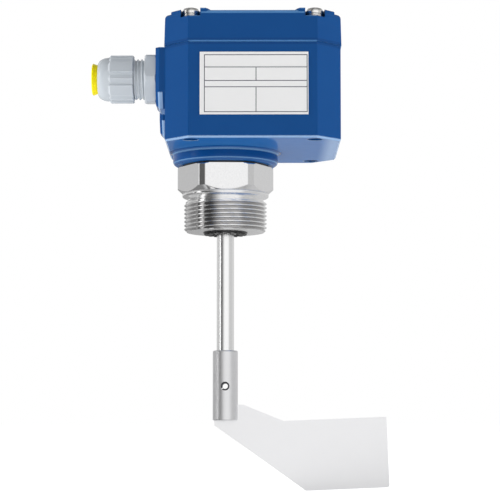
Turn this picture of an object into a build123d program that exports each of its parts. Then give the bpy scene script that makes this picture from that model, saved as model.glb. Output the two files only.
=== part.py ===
# Rotary paddle level switch: a cast housing on a threaded process connection, with a slow vane below it.
# Millimetres, +Z up. The origin is where the shaft's axis meets the sealing face under the hexagon.
# +X runs from the axis to the free end of the vane, and -Y is the side with the rating plate.

from build123d import *

import math
import os

os.makedirs("parts", exist_ok=True)

# Fits and small details
running_clearance = 0.05
seat_clearance = 0.02
edge_break = 0.5

# Process connection, from the end of its thread upwards
thread_diameter = 47.8
thread_end = 20.0
thread_chamfer = 1.5
undercut_diameter = 43.8
undercut_height = 3.3
collar_height = 2.0
hex_across_flats = 50.0
hex_corner_trim = 1.15
hex_height = 15.4
hex_turn = 2.0
hex_cone_height = 3.0
hex_cone_angle = 48.0
spigot_diameter = 32.0
connection_gasket_thickness = 1.1

# Housing casting
housing_width = 97.7
housing_depth = 98.0
housing_offset_x = 16.0
housing_offset_y = -10.5
corner_cut = 13.5
boss_diameter = 60.8
boss_height = 7.5
boss_rounding = 2.5
body_height = 53.5
wall = 4.5
floor_thickness = 6.0

# Lid and its screws
lid_overhang = 0.5
lid_height = 17.8
lid_ceiling = 4.8
lid_wall = 4.0
lid_draft = 1.5
lid_rounding = 2.8
lid_gasket_inset = 0.8
lid_gasket_thickness = 0.6
screw_inset_x = 14.55
screw_inset_y = 8.0
screw_diameter = 5.0
screw_head_diameter = 9.5
screw_head_height = 3.6
screw_dome_width = 4.1
screw_dome_height = 3.0
screw_recess_width = 4.8
screw_recess_slot = 1.1
screw_recess_depth = 2.1
screw_engagement = 14.0
tapped_depth = 20.0
pocket_radius = 5.4
pocket_depth = 3.6
rim_radius = 11.4
rim_height = 1.0
rim_rounding = 0.8
washer_diameter = 10.0
washer_thickness = 1.0
spring_washer_diameter = 9.2
spring_washer_thickness = 1.2
post_radius = 8.0
core_hole_diameter = 8.7
core_hole_depth = 22.0

# Rating plate on the front wall
plate_width = 59.6
plate_height = 34.7
plate_thickness = 0.5
plate_offset_x = 0.7
plate_base = 12.7

# Cable entries in the left wall
pad_thickness = 5.45
entry_diameter = 20.0
gland_offset_y = -29.0
gland_height = 37.9
gland_pad_width = 34.0
gland_pad_height = 33.4
gland_pad_drop = 0.5
blank_offset_y = 11.0
blank_height = 28.0
blank_pad_width = 28.0
blank_pad_height = 34.0
pad_corner_cut = 8.0
pad_bevel = 2.2

# Cable gland, outwards along -X from the pad
gland_across_flats = 27.0
gland_hex_length = 6.6
gland_corner_diameter = 30.2
gland_hex_turn = 7.0
gland_thread_diameter = 23.0
gland_thread_shown = 6.2
gland_body_length = 22.2
gland_bore_diameter = 13.0
gland_seal_diameter = 19.0
gland_seal_length = 17.0
nut_length = 20.4
nut_diameter = 24.6
nut_across_pads = 26.8
nut_pad_angle = 27.0
nut_pad_turn = 38.0
nut_pad_length = 14.0
nut_pad_bevel = 1.1
nut_ridge_diameter = 26.8
nut_face_diameter = 17.0
nut_mouth_diameter = 15.0
plug_stem_diameter = 10.4
plug_stem_length = 17.0
plug_flange_diameter = 18.0
plug_neck_diameter = 16.0
plug_flange_thickness = 3.2

# Shaft, sleeve and vane
shaft_diameter = 10.0
sleeve_diameter = 14.4
sleeve_start = 88.4
sleeve_length = 39.9
pin_diameter = 5.0
pin_bore_diameter = 3.2
pin_slit = 0.8
pin_slit_turn = 215.0
pin_drop = 20.4
vane_thickness = 1.5
vane_slot_height = 9.0
vane_reach = 94.0
vane_blade_height = 40.2
vane_tip_drop = 126.2
vane_tilt = 2.4
vane_neck_reach = 33.5
vane_heel_reach = 46.1
vane_shoulder = 3.0
vane_rounding = 1.5

# Bearings and shaft seal
bush_diameter = 16.0
bush_length = 12.0
bush_bore_relief = 1.0
seal_diameter = 25.6
seal_length = 7.7
seal_protrusion = 1.7
bearing_outer_diameter = 26.0
bearing_width = 8.0
bearing_ball_diameter = 4.2
bearing_ball_count = 7
bearing_inner_ring_diameter = 14.0
bearing_outer_ring_bore = 22.0
circlip_thickness = 1.0
circlip_height = 2.4
bearing_drop = 1.6
spigot_stand = 9.0
ring_nut_diameter = 44.0
ring_nut_height = 6.0
ring_nut_slot = 4.0

# Slip clutch between the gear motor and the shaft
clutch_diameter = 22.0
clutch_hub_height = 5.0
clutch_gap = 1.0
friction_disc_thickness = 1.0
drive_flange_thickness = 2.5
drive_sleeve_diameter = 12.0
drive_sleeve_height = 3.2
output_shaft_diameter = 6.0
output_shaft_reach = 7.0

# Mechanism plate and what turns on it
mechanism_plate_stand = 20.0
mechanism_plate_thickness = 2.0
mechanism_plate_left = 26.5
mechanism_plate_right = 47.0
mechanism_plate_front = 24.0
mechanism_plate_back = 22.0
collar_bore = 14.0
pivot_collar_diameter = 22.0
pivot_flange_diameter = 26.0
pivot_flange_thickness = 1.0
thrust_washer_thickness = 0.5
thrust_washer_diameter = 32.0
swing_plate_thickness = 2.0
swing_plate_radius = 25.5
swing_range = 15.0
stop_pin_diameter = 3.0
stop_pin_radius = 24.2
stop_pin_height = 8.0
gearbox_radius = 21.5
gearbox_height = 10.5
gearbox_recess = 2.2
motor_can_radius = 20.0
motor_can_height = 17.0
motor_screw_radius = 22.0
motor_ear_radius = 3.5
motor_ear_height = 3.0
m3 = 3.0
m3_head_diameter = 5.5
m3_head_height = 2.0
m3_head_side = 1.2
plate_post_x = 22.5
plate_post_right = 42.0
plate_post_y = 18.5
plate_post_back = 17.0
plate_post_radius = 3.5

# Switch cam: its edge grows evenly with angle, so the plungers' travel is even too
cam_base_radius = 27.5
cam_rise_per_radian = 3.8
cam_inner_radius = 22.2
cam_start = 4.0
cam_margin = 4.0

# Microswitches, one above the other
switch_length = 27.8
switch_depth = 15.9
switch_thickness = 10.3
switch_face = 29.6
switch_hole_spacing = 22.2
switch_hole_setback = 5.6
switch_gap = 0.6
plunger_diameter = 2.6
plunger_length = 6.4
plunger_stroke = 1.4
tab_width = 4.8
tab_length = 6.5
tab_thickness = 0.5

# Return spring between the swing plate's peg and the anchor's nearest hole
spring_line_y = 27.5
peg_x = 5.0
peg_diameter = 2.4
peg_height = 7.0
peg_groove = 0.4
ear_radius = 3.2
spring_rise = 5.5
spring_wire = 0.7
spring_mean_radius = 2.0
spring_turns = 10
spring_hook_length = 1.6
anchor_hole_x = 29.5
anchor_hole_pitch = 3.5
anchor_hole_diameter = 2.2
anchor_left = 28.0
anchor_right = 38.6
anchor_height = 9.5
anchor_thickness = 1.2
anchor_foot = 8.0

# Circuit board and its parts
board_stand = 12.0
board_thickness = 1.6
board_side_gap = 4.35
board_back_gap = 2.5
board_front_gap = 1.0
board_tongue_gap = 0.8
board_post_radius = 3.0
terminal_pitch = 5.0
terminal_count = 7
terminal_depth = 10.0
terminal_height = 13.0
terminal_screw_diameter = 3.4
terminal_screw_height = 2.0
terminal_screw_slot = 0.7
terminal_screw_offset = 0.5
terminal_well_depth = 4.4
terminal_bevel = 2.0
terminal_face_height = 7.8
terminal_entry = 3.5
terminal_entry_height = 3.9
terminal_entry_depth = 6.0
relay_length = 29.0
relay_depth = 12.7
relay_height = 15.7
relay_inset = 9.0
relay_setback = 1.2
capacitor_length = 18.0
capacitor_depth = 8.0
capacitor_height = 14.0
capacitor_inset = 15.0
capacitor_setback = 3.0
earth_screw_diameter = 4.0
earth_post_height = 7.0
earth_head_side = 1.6
earth_head_height = 2.6
earth_shank = 5.0
earth_inset = 7.35
earth_y = -6.0

# Sizes and heights worked out from the sizes above
hex_across_corners = hex_across_flats / math.cos(math.radians(30)) - 2 * hex_corner_trim
collar_diameter = hex_across_flats
connection_gasket_diameter = hex_across_flats
screw_spacing_x = housing_width - 2 * screw_inset_x
screw_spacing_y = housing_depth - 2 * screw_inset_y
hex_top = collar_height + hex_height
boss_bottom = hex_top + connection_gasket_thickness
body_bottom = boss_bottom + boss_height
cavity_floor = body_bottom + floor_thickness
parting = body_bottom + body_height
lid_top = parting + lid_height
pocket_floor = lid_top - pocket_depth
housing_left = housing_offset_x - housing_width / 2
housing_right = housing_offset_x + housing_width / 2
housing_front = housing_offset_y - housing_depth / 2
entry_face = housing_left - pad_thickness
gland_z = body_bottom + gland_height
blank_z = body_bottom + blank_height
spigot_top = cavity_floor + spigot_stand
bearing_top = spigot_top - bearing_drop
bearing_bottom = bearing_top - bearing_width
shaft_end = sleeve_start + sleeve_length - vane_slot_height - edge_break
clutch_base = spigot_top + clutch_gap
friction_base = clutch_base + clutch_hub_height
drive_base = friction_base + friction_disc_thickness
plate_base_z = cavity_floor + mechanism_plate_stand
plate_top_z = plate_base_z + mechanism_plate_thickness
swing_base = plate_top_z + thrust_washer_thickness
swing_top = swing_base + swing_plate_thickness
gearbox_top = swing_top + gearbox_height
board_left = -(housing_left + wall + board_side_gap)
board_right = housing_right - wall - board_side_gap
board_back = mechanism_plate_front + board_back_gap
board_front = -(housing_front + wall + board_front_gap)
board_step = board_front - terminal_depth - board_front_gap
board_tongue_left = screw_spacing_x / 2 - post_radius - board_tongue_gap - housing_offset_x
board_tongue_right = screw_spacing_x / 2 - post_radius - board_tongue_gap + housing_offset_x
earth_x = housing_right - wall - earth_inset
board_base = cavity_floor + board_stand
board_top = board_base + board_thickness
upper_switch_base = plate_top_z + switch_thickness + switch_gap
switch_stack_top = upper_switch_base + switch_thickness
spring_z = plate_top_z + spring_rise


def housing_outline(grow):
    """The housing seen from above, its walls moved out by grow."""
    with BuildSketch() as outline:
        with Locations((housing_offset_x, housing_offset_y)):
            Rectangle(housing_width + 2 * grow, housing_depth + 2 * grow)
        chamfer(outline.vertices(), corner_cut + grow * (2 - math.sqrt(2)))
    return outline.sketch


def section(points, plane=Plane.XZ):
    """A closed straight-sided profile to revolve, given as (across, along) points."""
    with BuildSketch(plane) as profile:
        with BuildLine():
            Polyline(*points, close=True)
        make_face()
    return profile.sketch


def disc_points(radius, low, high, bore=0.0):
    """The section of a plain ring or disc from low to high."""
    return [(bore, low), (radius, low), (radius, high), (bore, high)]


def lid_screw_grid():
    """The four lid screws, placed about the middle of the housing."""
    return GridLocations(screw_spacing_x, screw_spacing_y, 2, 2)


def screw_pockets():
    """The seats of the lid screws, each open towards the front or the back of the lid."""
    with BuildSketch() as seats:
        for side_y, towards in ((-1, Align.MAX), (1, Align.MIN)):
            for side_x in (-1, 1):
                seat_x = housing_offset_x + side_x * screw_spacing_x / 2
                seat_y = housing_offset_y + side_y * screw_spacing_y / 2
                with Locations((seat_x, seat_y)):
                    Circle(pocket_radius)
                    Rectangle(2 * pocket_radius, 2 * screw_inset_y, align=(Align.CENTER, towards))
    return seats.sketch


def pad_outline(width, height):
    """A cable entry's pad seen from the side, its two lower corners cut off."""
    with BuildSketch() as outline:
        Rectangle(width, height)
        chamfer(outline.vertices().group_by(Axis.Y)[0], pad_corner_cut)
    return outline.sketch


def finish(piece, label):
    """Label a finished piece and write it to its own file."""
    piece.part.label = label
    export_step(piece.part, f"parts/{label}.step")


# Places that several pieces share
housing_middle = (housing_offset_x, housing_offset_y)
plate_posts = [
    (-plate_post_x, -plate_post_y),
    (-plate_post_x, plate_post_y),
    (plate_post_right, -plate_post_y),
    (plate_post_right, plate_post_back),
]
board_posts = [
    (-board_left + board_post_radius + 1, -board_back - board_post_radius - 1),
    (board_right - board_post_radius - 1, -board_back - board_post_radius - 1),
    (-board_tongue_left + board_post_radius, -board_step - 1),
    (board_tongue_right - board_post_radius, -board_step - 1),
]
gland_plane = Plane(origin=(0, gland_offset_y, gland_z), x_dir=(1, 0, 0), z_dir=(0, -1, 0))
gland_axis = Axis((0, gland_offset_y, gland_z), (1, 0, 0))
blank_plane = Plane(origin=(0, blank_offset_y, blank_z), x_dir=(1, 0, 0), z_dir=(0, -1, 0))
blank_axis = Axis((0, blank_offset_y, blank_z), (1, 0, 0))


# Process connection: hexagon, collar, undercut and threaded end in one piece, with a spigot into the housing
hex_radius = hex_across_corners / 2
cone_foot = hex_radius - hex_cone_height * math.tan(math.radians(hex_cone_angle))
bush_seat = -thread_end + seal_length - seal_protrusion
with BuildPart() as process_connection:
    with BuildSketch(Plane.XY.offset(collar_height)):
        RegularPolygon(hex_across_flats / 2, 6, major_radius=False, rotation=hex_turn)
    extrude(amount=hex_height)
    envelope = [
        (0, collar_height),
        (cone_foot, collar_height),
        (hex_radius, collar_height + hex_cone_height),
        (hex_radius, hex_top - edge_break),
        (hex_radius - 2 * edge_break, hex_top),
        (0, hex_top),
    ]
    revolve(section(envelope), axis=Axis.Z, mode=Mode.INTERSECT)
    thread_radius = thread_diameter / 2
    undercut_radius = undercut_diameter / 2
    stem = [
        (0, -thread_end),
        (thread_radius - thread_chamfer, -thread_end),
        (thread_radius, -thread_end + thread_chamfer),
        (thread_radius, -undercut_height),
        (undercut_radius, -undercut_height + edge_break),
        (undercut_radius, -2 * edge_break),
        (thread_radius + running_clearance, 0),
        (collar_diameter / 2, 0),
        (collar_diameter / 2, collar_height),
        (spigot_diameter / 2, hex_top),
        (spigot_diameter / 2, spigot_top - edge_break),
        (spigot_diameter / 2 - edge_break, spigot_top),
        (0, spigot_top),
    ]
    revolve(section(stem), axis=Axis.Z)
    circlip_groove = bearing_outer_diameter / 2 + edge_break
    bore = [
        (0, -thread_end),
        (seal_diameter / 2, -thread_end),
        (seal_diameter / 2, bush_seat),
        (bush_diameter / 2, bush_seat),
        (bush_diameter / 2, bush_seat + bush_length),
        (bush_diameter / 2 - bush_bore_relief, bush_seat + bush_length),
        (bush_diameter / 2 - bush_bore_relief, bearing_bottom - 4 * circlip_thickness),
        (bush_diameter / 2 + bush_bore_relief, bearing_bottom - 4 * circlip_thickness),
        (bush_diameter / 2 + bush_bore_relief, bearing_bottom),
        (bearing_outer_diameter / 2, bearing_bottom),
        (bearing_outer_diameter / 2, bearing_top),
        (circlip_groove, bearing_top),
        (circlip_groove, bearing_top + circlip_thickness),
        (bearing_outer_diameter / 2, bearing_top + circlip_thickness),
        (bearing_outer_diameter / 2, spigot_top),
        (0, spigot_top),
    ]
    revolve(section(bore), axis=Axis.Z, mode=Mode.SUBTRACT)
finish(process_connection, "process_connection")


# Gasket between the hexagon and the housing's boss
with BuildPart() as connection_gasket:
    ring = disc_points(connection_gasket_diameter / 2, hex_top, boss_bottom, spigot_diameter / 2)
    revolve(section(ring), axis=Axis.Z)
finish(connection_gasket, "connection_gasket")


# Slotted ring nut that clamps the connection in the housing's floor
with BuildPart() as connection_ring_nut:
    nut_top = cavity_floor + ring_nut_height
    ring = disc_points(ring_nut_diameter / 2, cavity_floor, nut_top, spigot_diameter / 2)
    revolve(section(ring), axis=Axis.Z)
    chamfer(connection_ring_nut.edges().group_by(Axis.Z)[-1].sort_by(SortBy.RADIUS)[-1], edge_break)
    with BuildSketch(Plane.XY.offset(nut_top)):
        with PolarLocations(ring_nut_diameter / 2, 4, start_angle=45):
            Rectangle(ring_nut_slot, ring_nut_slot)
    extrude(amount=-ring_nut_height, mode=Mode.SUBTRACT)
finish(connection_ring_nut, "connection_ring_nut")


# Housing body: a cast tub with cut corners, a round boss below and two cable entries on the left
with BuildPart() as housing_body:
    with BuildSketch(Plane.XY.offset(body_bottom)):
        add(housing_outline(0))
    extrude(amount=body_height)
    bottom_edges = housing_body.edges().group_by(Axis.Z)[0]
    chamfer(bottom_edges, 2 * edge_break)
    # Pads for the cable entries, bevelled all round but for their top edges
    entry_wall = Plane.YZ.offset(housing_left + wall / 2)
    gland_pad_middle = parting - gland_pad_drop - gland_pad_height / 2
    with BuildSketch(entry_wall):
        with Locations((gland_offset_y, gland_pad_middle)):
            add(pad_outline(gland_pad_width, gland_pad_height))
        with Locations((blank_offset_y, blank_z)):
            add(pad_outline(blank_pad_width, blank_pad_height))
    extrude(amount=-(pad_thickness + wall / 2))
    for pad_face in housing_body.faces().filter_by(Axis.X).group_by(Axis.X)[0]:
        chamfer(pad_face.edges().sort_by(Axis.Z)[:-1], pad_bevel)
    # Round boss under the floor
    with BuildSketch(Plane.XY.offset(boss_bottom)):
        Circle(boss_diameter / 2)
    extrude(amount=boss_height + edge_break)
    boss_edge = housing_body.edges().filter_by(GeomType.CIRCLE).group_by(Axis.Z)[0]
    fillet(boss_edge, boss_rounding)
    # Cavity, with a post in each corner for a lid screw
    with BuildSketch(Plane.XY.offset(cavity_floor)):
        add(housing_outline(-wall))
        for side_x in (-1, 1):
            for side_y in (-1, 1):
                post_x = housing_offset_x + side_x * screw_spacing_x / 2
                post_y = housing_offset_y + side_y * screw_spacing_y / 2
                with Locations((post_x, post_y)):
                    Circle(post_radius, mode=Mode.SUBTRACT)
                with Locations((post_x + side_x * post_radius, post_y)):
                    Rectangle(2 * post_radius, 2 * post_radius, mode=Mode.SUBTRACT)
                with Locations((post_x, post_y + side_y * post_radius)):
                    Rectangle(2 * post_radius, 2 * post_radius, mode=Mode.SUBTRACT)
    extrude(amount=body_height, mode=Mode.SUBTRACT)
    # Posts for the mechanism plate and the circuit board, and the earth screw's post
    with BuildSketch(Plane.XY.offset(cavity_floor)):
        with Locations(*plate_posts):
            Circle(plate_post_radius)
    extrude(amount=mechanism_plate_stand)
    with BuildSketch(Plane.XY.offset(cavity_floor)):
        with Locations(*board_posts):
            Circle(board_post_radius)
    extrude(amount=board_stand)
    with BuildSketch(Plane.XY.offset(cavity_floor)):
        with Locations((earth_x, earth_y)):
            Circle(earth_screw_diameter)
    extrude(amount=earth_post_height)
    # Tapped holes in the posts
    with BuildSketch(Plane.XY.offset(plate_base_z)):
        with Locations(*plate_posts):
            Circle(m3 / 2)
    extrude(amount=-2 * m3, mode=Mode.SUBTRACT)
    with BuildSketch(Plane.XY.offset(board_base)):
        with Locations(*board_posts):
            Circle(m3 / 2)
    extrude(amount=-2 * m3, mode=Mode.SUBTRACT)
    with BuildSketch(Plane.XY.offset(cavity_floor + earth_post_height)):
        with Locations((earth_x, earth_y)):
            Circle(earth_screw_diameter / 2)
    extrude(amount=-earth_post_height, mode=Mode.SUBTRACT)
    # Tapped holes for the lid screws from above, and cored holes below them
    with BuildSketch(Plane.XY.offset(parting)):
        with Locations(housing_middle):
            with lid_screw_grid():
                Circle(screw_diameter / 2 + running_clearance)
    extrude(amount=-tapped_depth, mode=Mode.SUBTRACT)
    with BuildSketch(Plane.XY.offset(body_bottom)):
        with Locations(housing_middle):
            with lid_screw_grid():
                Circle(core_hole_diameter / 2)
    extrude(amount=core_hole_depth, mode=Mode.SUBTRACT)
    # Seat for the lid gasket
    with BuildSketch(Plane.XY.offset(parting)):
        add(housing_outline(-lid_gasket_inset))
    extrude(amount=-lid_gasket_thickness, mode=Mode.SUBTRACT)
    # Bore for the spigot
    with BuildSketch(Plane.XY.offset(boss_bottom)):
        Circle(spigot_diameter / 2 + seat_clearance)
    extrude(amount=boss_height + floor_thickness, mode=Mode.SUBTRACT)
    # Cable entries
    with BuildSketch(Plane.YZ.offset(entry_face)):
        with Locations((gland_offset_y, gland_z), (blank_offset_y, blank_z)):
            Circle(entry_diameter / 2)
    extrude(amount=pad_thickness + wall, mode=Mode.SUBTRACT)
finish(housing_body, "housing_body")


# Flat gasket on the body's rim, with the same posts and holes
with BuildPart() as lid_gasket:
    with BuildSketch(Plane.XY.offset(parting - lid_gasket_thickness)):
        add(housing_outline(-lid_gasket_inset))
        add(housing_outline(-wall), mode=Mode.SUBTRACT)
        with Locations(housing_middle):
            with lid_screw_grid():
                Circle(post_radius)
        add(housing_outline(-lid_gasket_inset), mode=Mode.INTERSECT)
        with Locations(housing_middle):
            with lid_screw_grid():
                Circle(screw_diameter / 2 + running_clearance, mode=Mode.SUBTRACT)
    extrude(amount=lid_gasket_thickness - seat_clearance)
finish(lid_gasket, "lid_gasket")


# Lid: drafted cap with a raised rim round the pocket of each screw
with BuildPart() as lid:
    with BuildSketch(Plane.XY.offset(parting)):
        add(housing_outline(lid_overhang))
    extrude(amount=lid_height, taper=lid_draft)
    fillet(lid.faces().sort_by(Axis.Z)[-1].edges(), lid_rounding)
    shrink = math.tan(math.radians(lid_draft)) * (lid_height - pocket_depth)
    with BuildSketch(Plane.XY.offset(pocket_floor)):
        with Locations(housing_middle):
            with lid_screw_grid():
                Circle(rim_radius)
        add(housing_outline(lid_overhang - shrink - edge_break), mode=Mode.INTERSECT)
    extrude(amount=pocket_depth + rim_height)
    fillet(lid.faces().group_by(Axis.Z)[-1].edges(), rim_rounding)
    with BuildSketch(Plane.XY.offset(pocket_floor)):
        add(screw_pockets())
    extrude(amount=pocket_depth + rim_height, mode=Mode.SUBTRACT)
    # Hollow underside, with the corner posts left standing
    with BuildSketch(Plane.XY.offset(parting)):
        add(housing_outline(lid_overhang - lid_wall))
        with Locations(housing_middle):
            with lid_screw_grid():
                Circle(post_radius + 1, mode=Mode.SUBTRACT)
    extrude(amount=lid_height - lid_ceiling, mode=Mode.SUBTRACT)
    with BuildSketch(Plane.XY.offset(parting)):
        with Locations(housing_middle):
            with lid_screw_grid():
                Circle(screw_diameter / 2 + 5 * running_clearance)
    extrude(amount=lid_height, mode=Mode.SUBTRACT)
finish(lid, "lid")


# Lid screws with a domed cross-recessed head, over a spring washer and a flat washer
head_base = pocket_floor + washer_thickness + spring_washer_thickness
head_radius = screw_head_diameter / 2
with BuildPart() as lid_screws:
    head = [
        (0, parting - screw_engagement),
        (screw_diameter / 2 - edge_break, parting - screw_engagement),
        (screw_diameter / 2, parting - screw_engagement + edge_break),
        (screw_diameter / 2, head_base),
        (head_radius, head_base),
        (head_radius, head_base + screw_head_height / 2),
        (screw_dome_width, head_base + screw_dome_height),
        (screw_recess_width / 2, head_base + screw_head_height),
        (0, head_base + screw_head_height),
    ]
    screw_shape = revolve(section(head), axis=Axis.Z, mode=Mode.PRIVATE)
    with BuildSketch(Plane.XY.offset(head_base + screw_head_height)) as cross:
        Rectangle(screw_recess_width, screw_recess_slot)
        Rectangle(screw_recess_slot, screw_recess_width)
    cross_cut = extrude(cross.sketch, amount=-screw_recess_depth, mode=Mode.PRIVATE)
    with Locations(housing_middle):
        with lid_screw_grid():
            add(screw_shape - cross_cut)
finish(lid_screws, "lid_screws")

with BuildPart() as lid_spring_washers:
    with BuildSketch(Plane.XY.offset(pocket_floor + washer_thickness)):
        with Locations(housing_middle):
            with lid_screw_grid():
                Circle(spring_washer_diameter / 2)
                Circle(screw_diameter / 2, mode=Mode.SUBTRACT)
                with Locations((spring_washer_diameter / 2, 0)):
                    Rectangle(spring_washer_diameter / 2, edge_break, mode=Mode.SUBTRACT)
    extrude(amount=spring_washer_thickness)
finish(lid_spring_washers, "lid_spring_washers")

with BuildPart() as lid_washers:
    with BuildSketch(Plane.XY.offset(pocket_floor)):
        with Locations(housing_middle):
            with lid_screw_grid():
                Circle(washer_diameter / 2)
                Circle(screw_diameter / 2, mode=Mode.SUBTRACT)
    extrude(amount=washer_thickness)
finish(lid_washers, "lid_washers")


# Rating plate: a thin blank plate on the front wall
with BuildPart() as rating_plate:
    with BuildSketch(Plane.XZ.offset(-housing_front)):
        with Locations((housing_offset_x + plate_offset_x, body_bottom + plate_base)):
            Rectangle(plate_width, plate_height, align=(Align.CENTER, Align.MIN))
    extrude(amount=plate_thickness)
finish(rating_plate, "rating_plate")


# Gland body: threaded shank in the wall, hexagon, and the open end that the nut screws on
hex_end = entry_face - gland_hex_length
gland_end = entry_face - gland_body_length
nut_start = hex_end - gland_thread_shown
seal_floor = nut_start + edge_break
with BuildPart() as gland_body:
    with BuildSketch(Plane.YZ.offset(entry_face)):
        with Locations((gland_offset_y, gland_z)):
            RegularPolygon(gland_across_flats / 2, 6, major_radius=False, rotation=gland_hex_turn)
    extrude(amount=-gland_hex_length)
    chamfered = gland_corner_diameter / 2
    gland_envelope = [
        (entry_face, 0),
        (entry_face, chamfered),
        (hex_end + 2 * edge_break, chamfered),
        (hex_end, chamfered - 2 * edge_break),
        (hex_end, 0),
    ]
    revolve(section(gland_envelope, gland_plane), axis=gland_axis, mode=Mode.INTERSECT)
    shank_end = housing_left + wall
    gland_turned = [
        (shank_end, 0),
        (shank_end, entry_diameter / 2 - edge_break),
        (shank_end - edge_break, entry_diameter / 2),
        (entry_face, entry_diameter / 2),
        (hex_end, gland_thread_diameter / 2),
        (gland_end + edge_break, gland_thread_diameter / 2),
        (gland_end, gland_thread_diameter / 2 - edge_break),
        (gland_end, 0),
    ]
    revolve(section(gland_turned, gland_plane), axis=gland_axis)
    gland_bore = [
        (shank_end, 0),
        (shank_end, gland_bore_diameter / 2),
        (seal_floor, gland_bore_diameter / 2),
        (seal_floor, gland_seal_diameter / 2 + seat_clearance),
        (gland_end, gland_seal_diameter / 2 + seat_clearance),
        (gland_end, 0),
    ]
    revolve(section(gland_bore, gland_plane), axis=gland_axis, mode=Mode.SUBTRACT)
finish(gland_body, "gland_body")


# Rubber insert that grips the cable
plug_bore = plug_stem_diameter / 2 + running_clearance
with BuildPart() as gland_seal:
    seal_tip = seal_floor - gland_seal_length
    insert = [
        (seal_floor, plug_bore),
        (seal_floor, gland_seal_diameter / 2),
        (gland_end, gland_seal_diameter / 2),
        (seal_tip, gland_seal_diameter / 2 - 2),
        (seal_tip, plug_bore),
    ]
    revolve(section(insert, gland_plane), axis=gland_axis)
finish(gland_seal, "gland_seal")


# Dome nut: six raised flats with a ridge between each two, on a round body that narrows to the mouth
nut_mouth = nut_start - nut_length
pad_width = nut_across_pads * math.tan(math.radians(nut_pad_angle / 2))
with BuildPart() as nut_grip:
    with BuildSketch(Plane.YZ.offset(nut_start)):
        with Locations((gland_offset_y, gland_z)):
            with PolarLocations(0, 3, start_angle=nut_pad_turn, angular_range=180):
                Rectangle(nut_across_pads, pad_width)
            RegularPolygon(nut_ridge_diameter / 2, 6, rotation=nut_pad_turn - 30)
    extrude(amount=-nut_pad_length)
    chamfer(nut_grip.edges().group_by(Axis.X)[0], nut_pad_bevel)
    chamfer(nut_grip.edges().group_by(Axis.X)[-1], edge_break)

with BuildPart() as dome_nut:
    nut_radius = nut_diameter / 2
    dome_start = nut_start - nut_pad_length
    face_radius = nut_face_diameter / 2
    with BuildSketch(gland_plane):
        with BuildLine():
            Polyline(
                (nut_mouth, face_radius),
                (nut_mouth, 0),
                (nut_start, 0),
                (nut_start, nut_radius - edge_break),
                (nut_start - edge_break, nut_radius),
                (dome_start, nut_radius),
            )
            EllipticalCenterArc(
                (dome_start, face_radius),
                dome_start - nut_mouth,
                nut_radius - face_radius,
                start_angle=90,
                arc_size=90,
            )
        make_face()
    revolve(axis=gland_axis)
    add(nut_grip.part)
    nut_cavity = [
        (nut_start, 0),
        (nut_start, gland_thread_diameter / 2 + running_clearance),
        (gland_end - edge_break, gland_thread_diameter / 2 + running_clearance),
        (seal_tip - edge_break, nut_mouth_diameter / 2 + 1),
        (seal_tip - edge_break, nut_mouth_diameter / 2),
        (nut_mouth, nut_mouth_diameter / 2),
        (nut_mouth, 0),
    ]
    revolve(section(nut_cavity, gland_plane), axis=gland_axis, mode=Mode.SUBTRACT)
finish(dome_nut, "dome_nut")


# Dust plug that closes the gland
with BuildPart() as dust_plug:
    plug = [
        (nut_mouth + plug_stem_length, 0),
        (nut_mouth + plug_stem_length, plug_stem_diameter / 2 - edge_break),
        (nut_mouth + plug_stem_length - edge_break, plug_stem_diameter / 2),
        (nut_mouth, plug_stem_diameter / 2),
        (nut_mouth, plug_neck_diameter / 2),
        (nut_mouth - plug_flange_thickness + edge_break, plug_flange_diameter / 2),
        (nut_mouth - plug_flange_thickness, plug_flange_diameter / 2 - edge_break),
        (nut_mouth - plug_flange_thickness, 0),
    ]
    revolve(section(plug, gland_plane), axis=gland_axis)
finish(dust_plug, "dust_plug")


# Blanking plug, flush in the second entry, with a hexagon socket
with BuildPart() as blanking_plug:
    blank = [
        (shank_end, 0),
        (shank_end, entry_diameter / 2 - seat_clearance),
        (entry_face, entry_diameter / 2 - seat_clearance),
        (entry_face, 0),
    ]
    revolve(section(blank, blank_plane), axis=blank_axis)
    with BuildSketch(Plane.YZ.offset(entry_face)):
        with Locations((blank_offset_y, blank_z)):
            RegularPolygon(entry_diameter / 4, 6, major_radius=False)
    extrude(amount=pad_thickness, mode=Mode.SUBTRACT)
finish(blanking_plug, "blanking_plug")


# Shaft, grooved for a retaining ring on each side of the upper bearing
groove_radius = shaft_diameter / 2 - edge_break
with BuildPart() as shaft:
    shaft_radius = shaft_diameter / 2
    shaft_top = friction_base - edge_break
    stepped = [
        (0, -shaft_end),
        (shaft_radius - edge_break, -shaft_end),
        (shaft_radius, -shaft_end + edge_break),
        (shaft_radius, bearing_bottom - circlip_thickness),
        (groove_radius, bearing_bottom - circlip_thickness),
        (groove_radius, bearing_bottom),
        (shaft_radius, bearing_bottom),
        (shaft_radius, bearing_top),
        (groove_radius, bearing_top),
        (groove_radius, bearing_top + circlip_thickness),
        (shaft_radius, bearing_top + circlip_thickness),
        (shaft_radius, shaft_top),
        (0, shaft_top),
    ]
    revolve(section(stepped), axis=Axis.Z)
    with BuildSketch(Plane.XZ.offset(-shaft_radius)):
        with Locations((0, -sleeve_start - pin_drop)):
            Circle(pin_diameter / 2)
    extrude(amount=2 * shaft_radius, mode=Mode.SUBTRACT)
finish(shaft, "shaft")

with BuildPart() as shaft_circlips:
    for clip_base in (bearing_bottom - circlip_thickness, bearing_top):
        with BuildSketch(Plane.XY.offset(clip_base)):
            Circle(groove_radius + circlip_height)
            Circle(groove_radius, mode=Mode.SUBTRACT)
            with Locations((groove_radius + circlip_height, 0)):
                Rectangle(2 * circlip_height + 1, groove_radius, mode=Mode.SUBTRACT)
        extrude(amount=circlip_thickness)
finish(shaft_circlips, "shaft_circlips")


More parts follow.
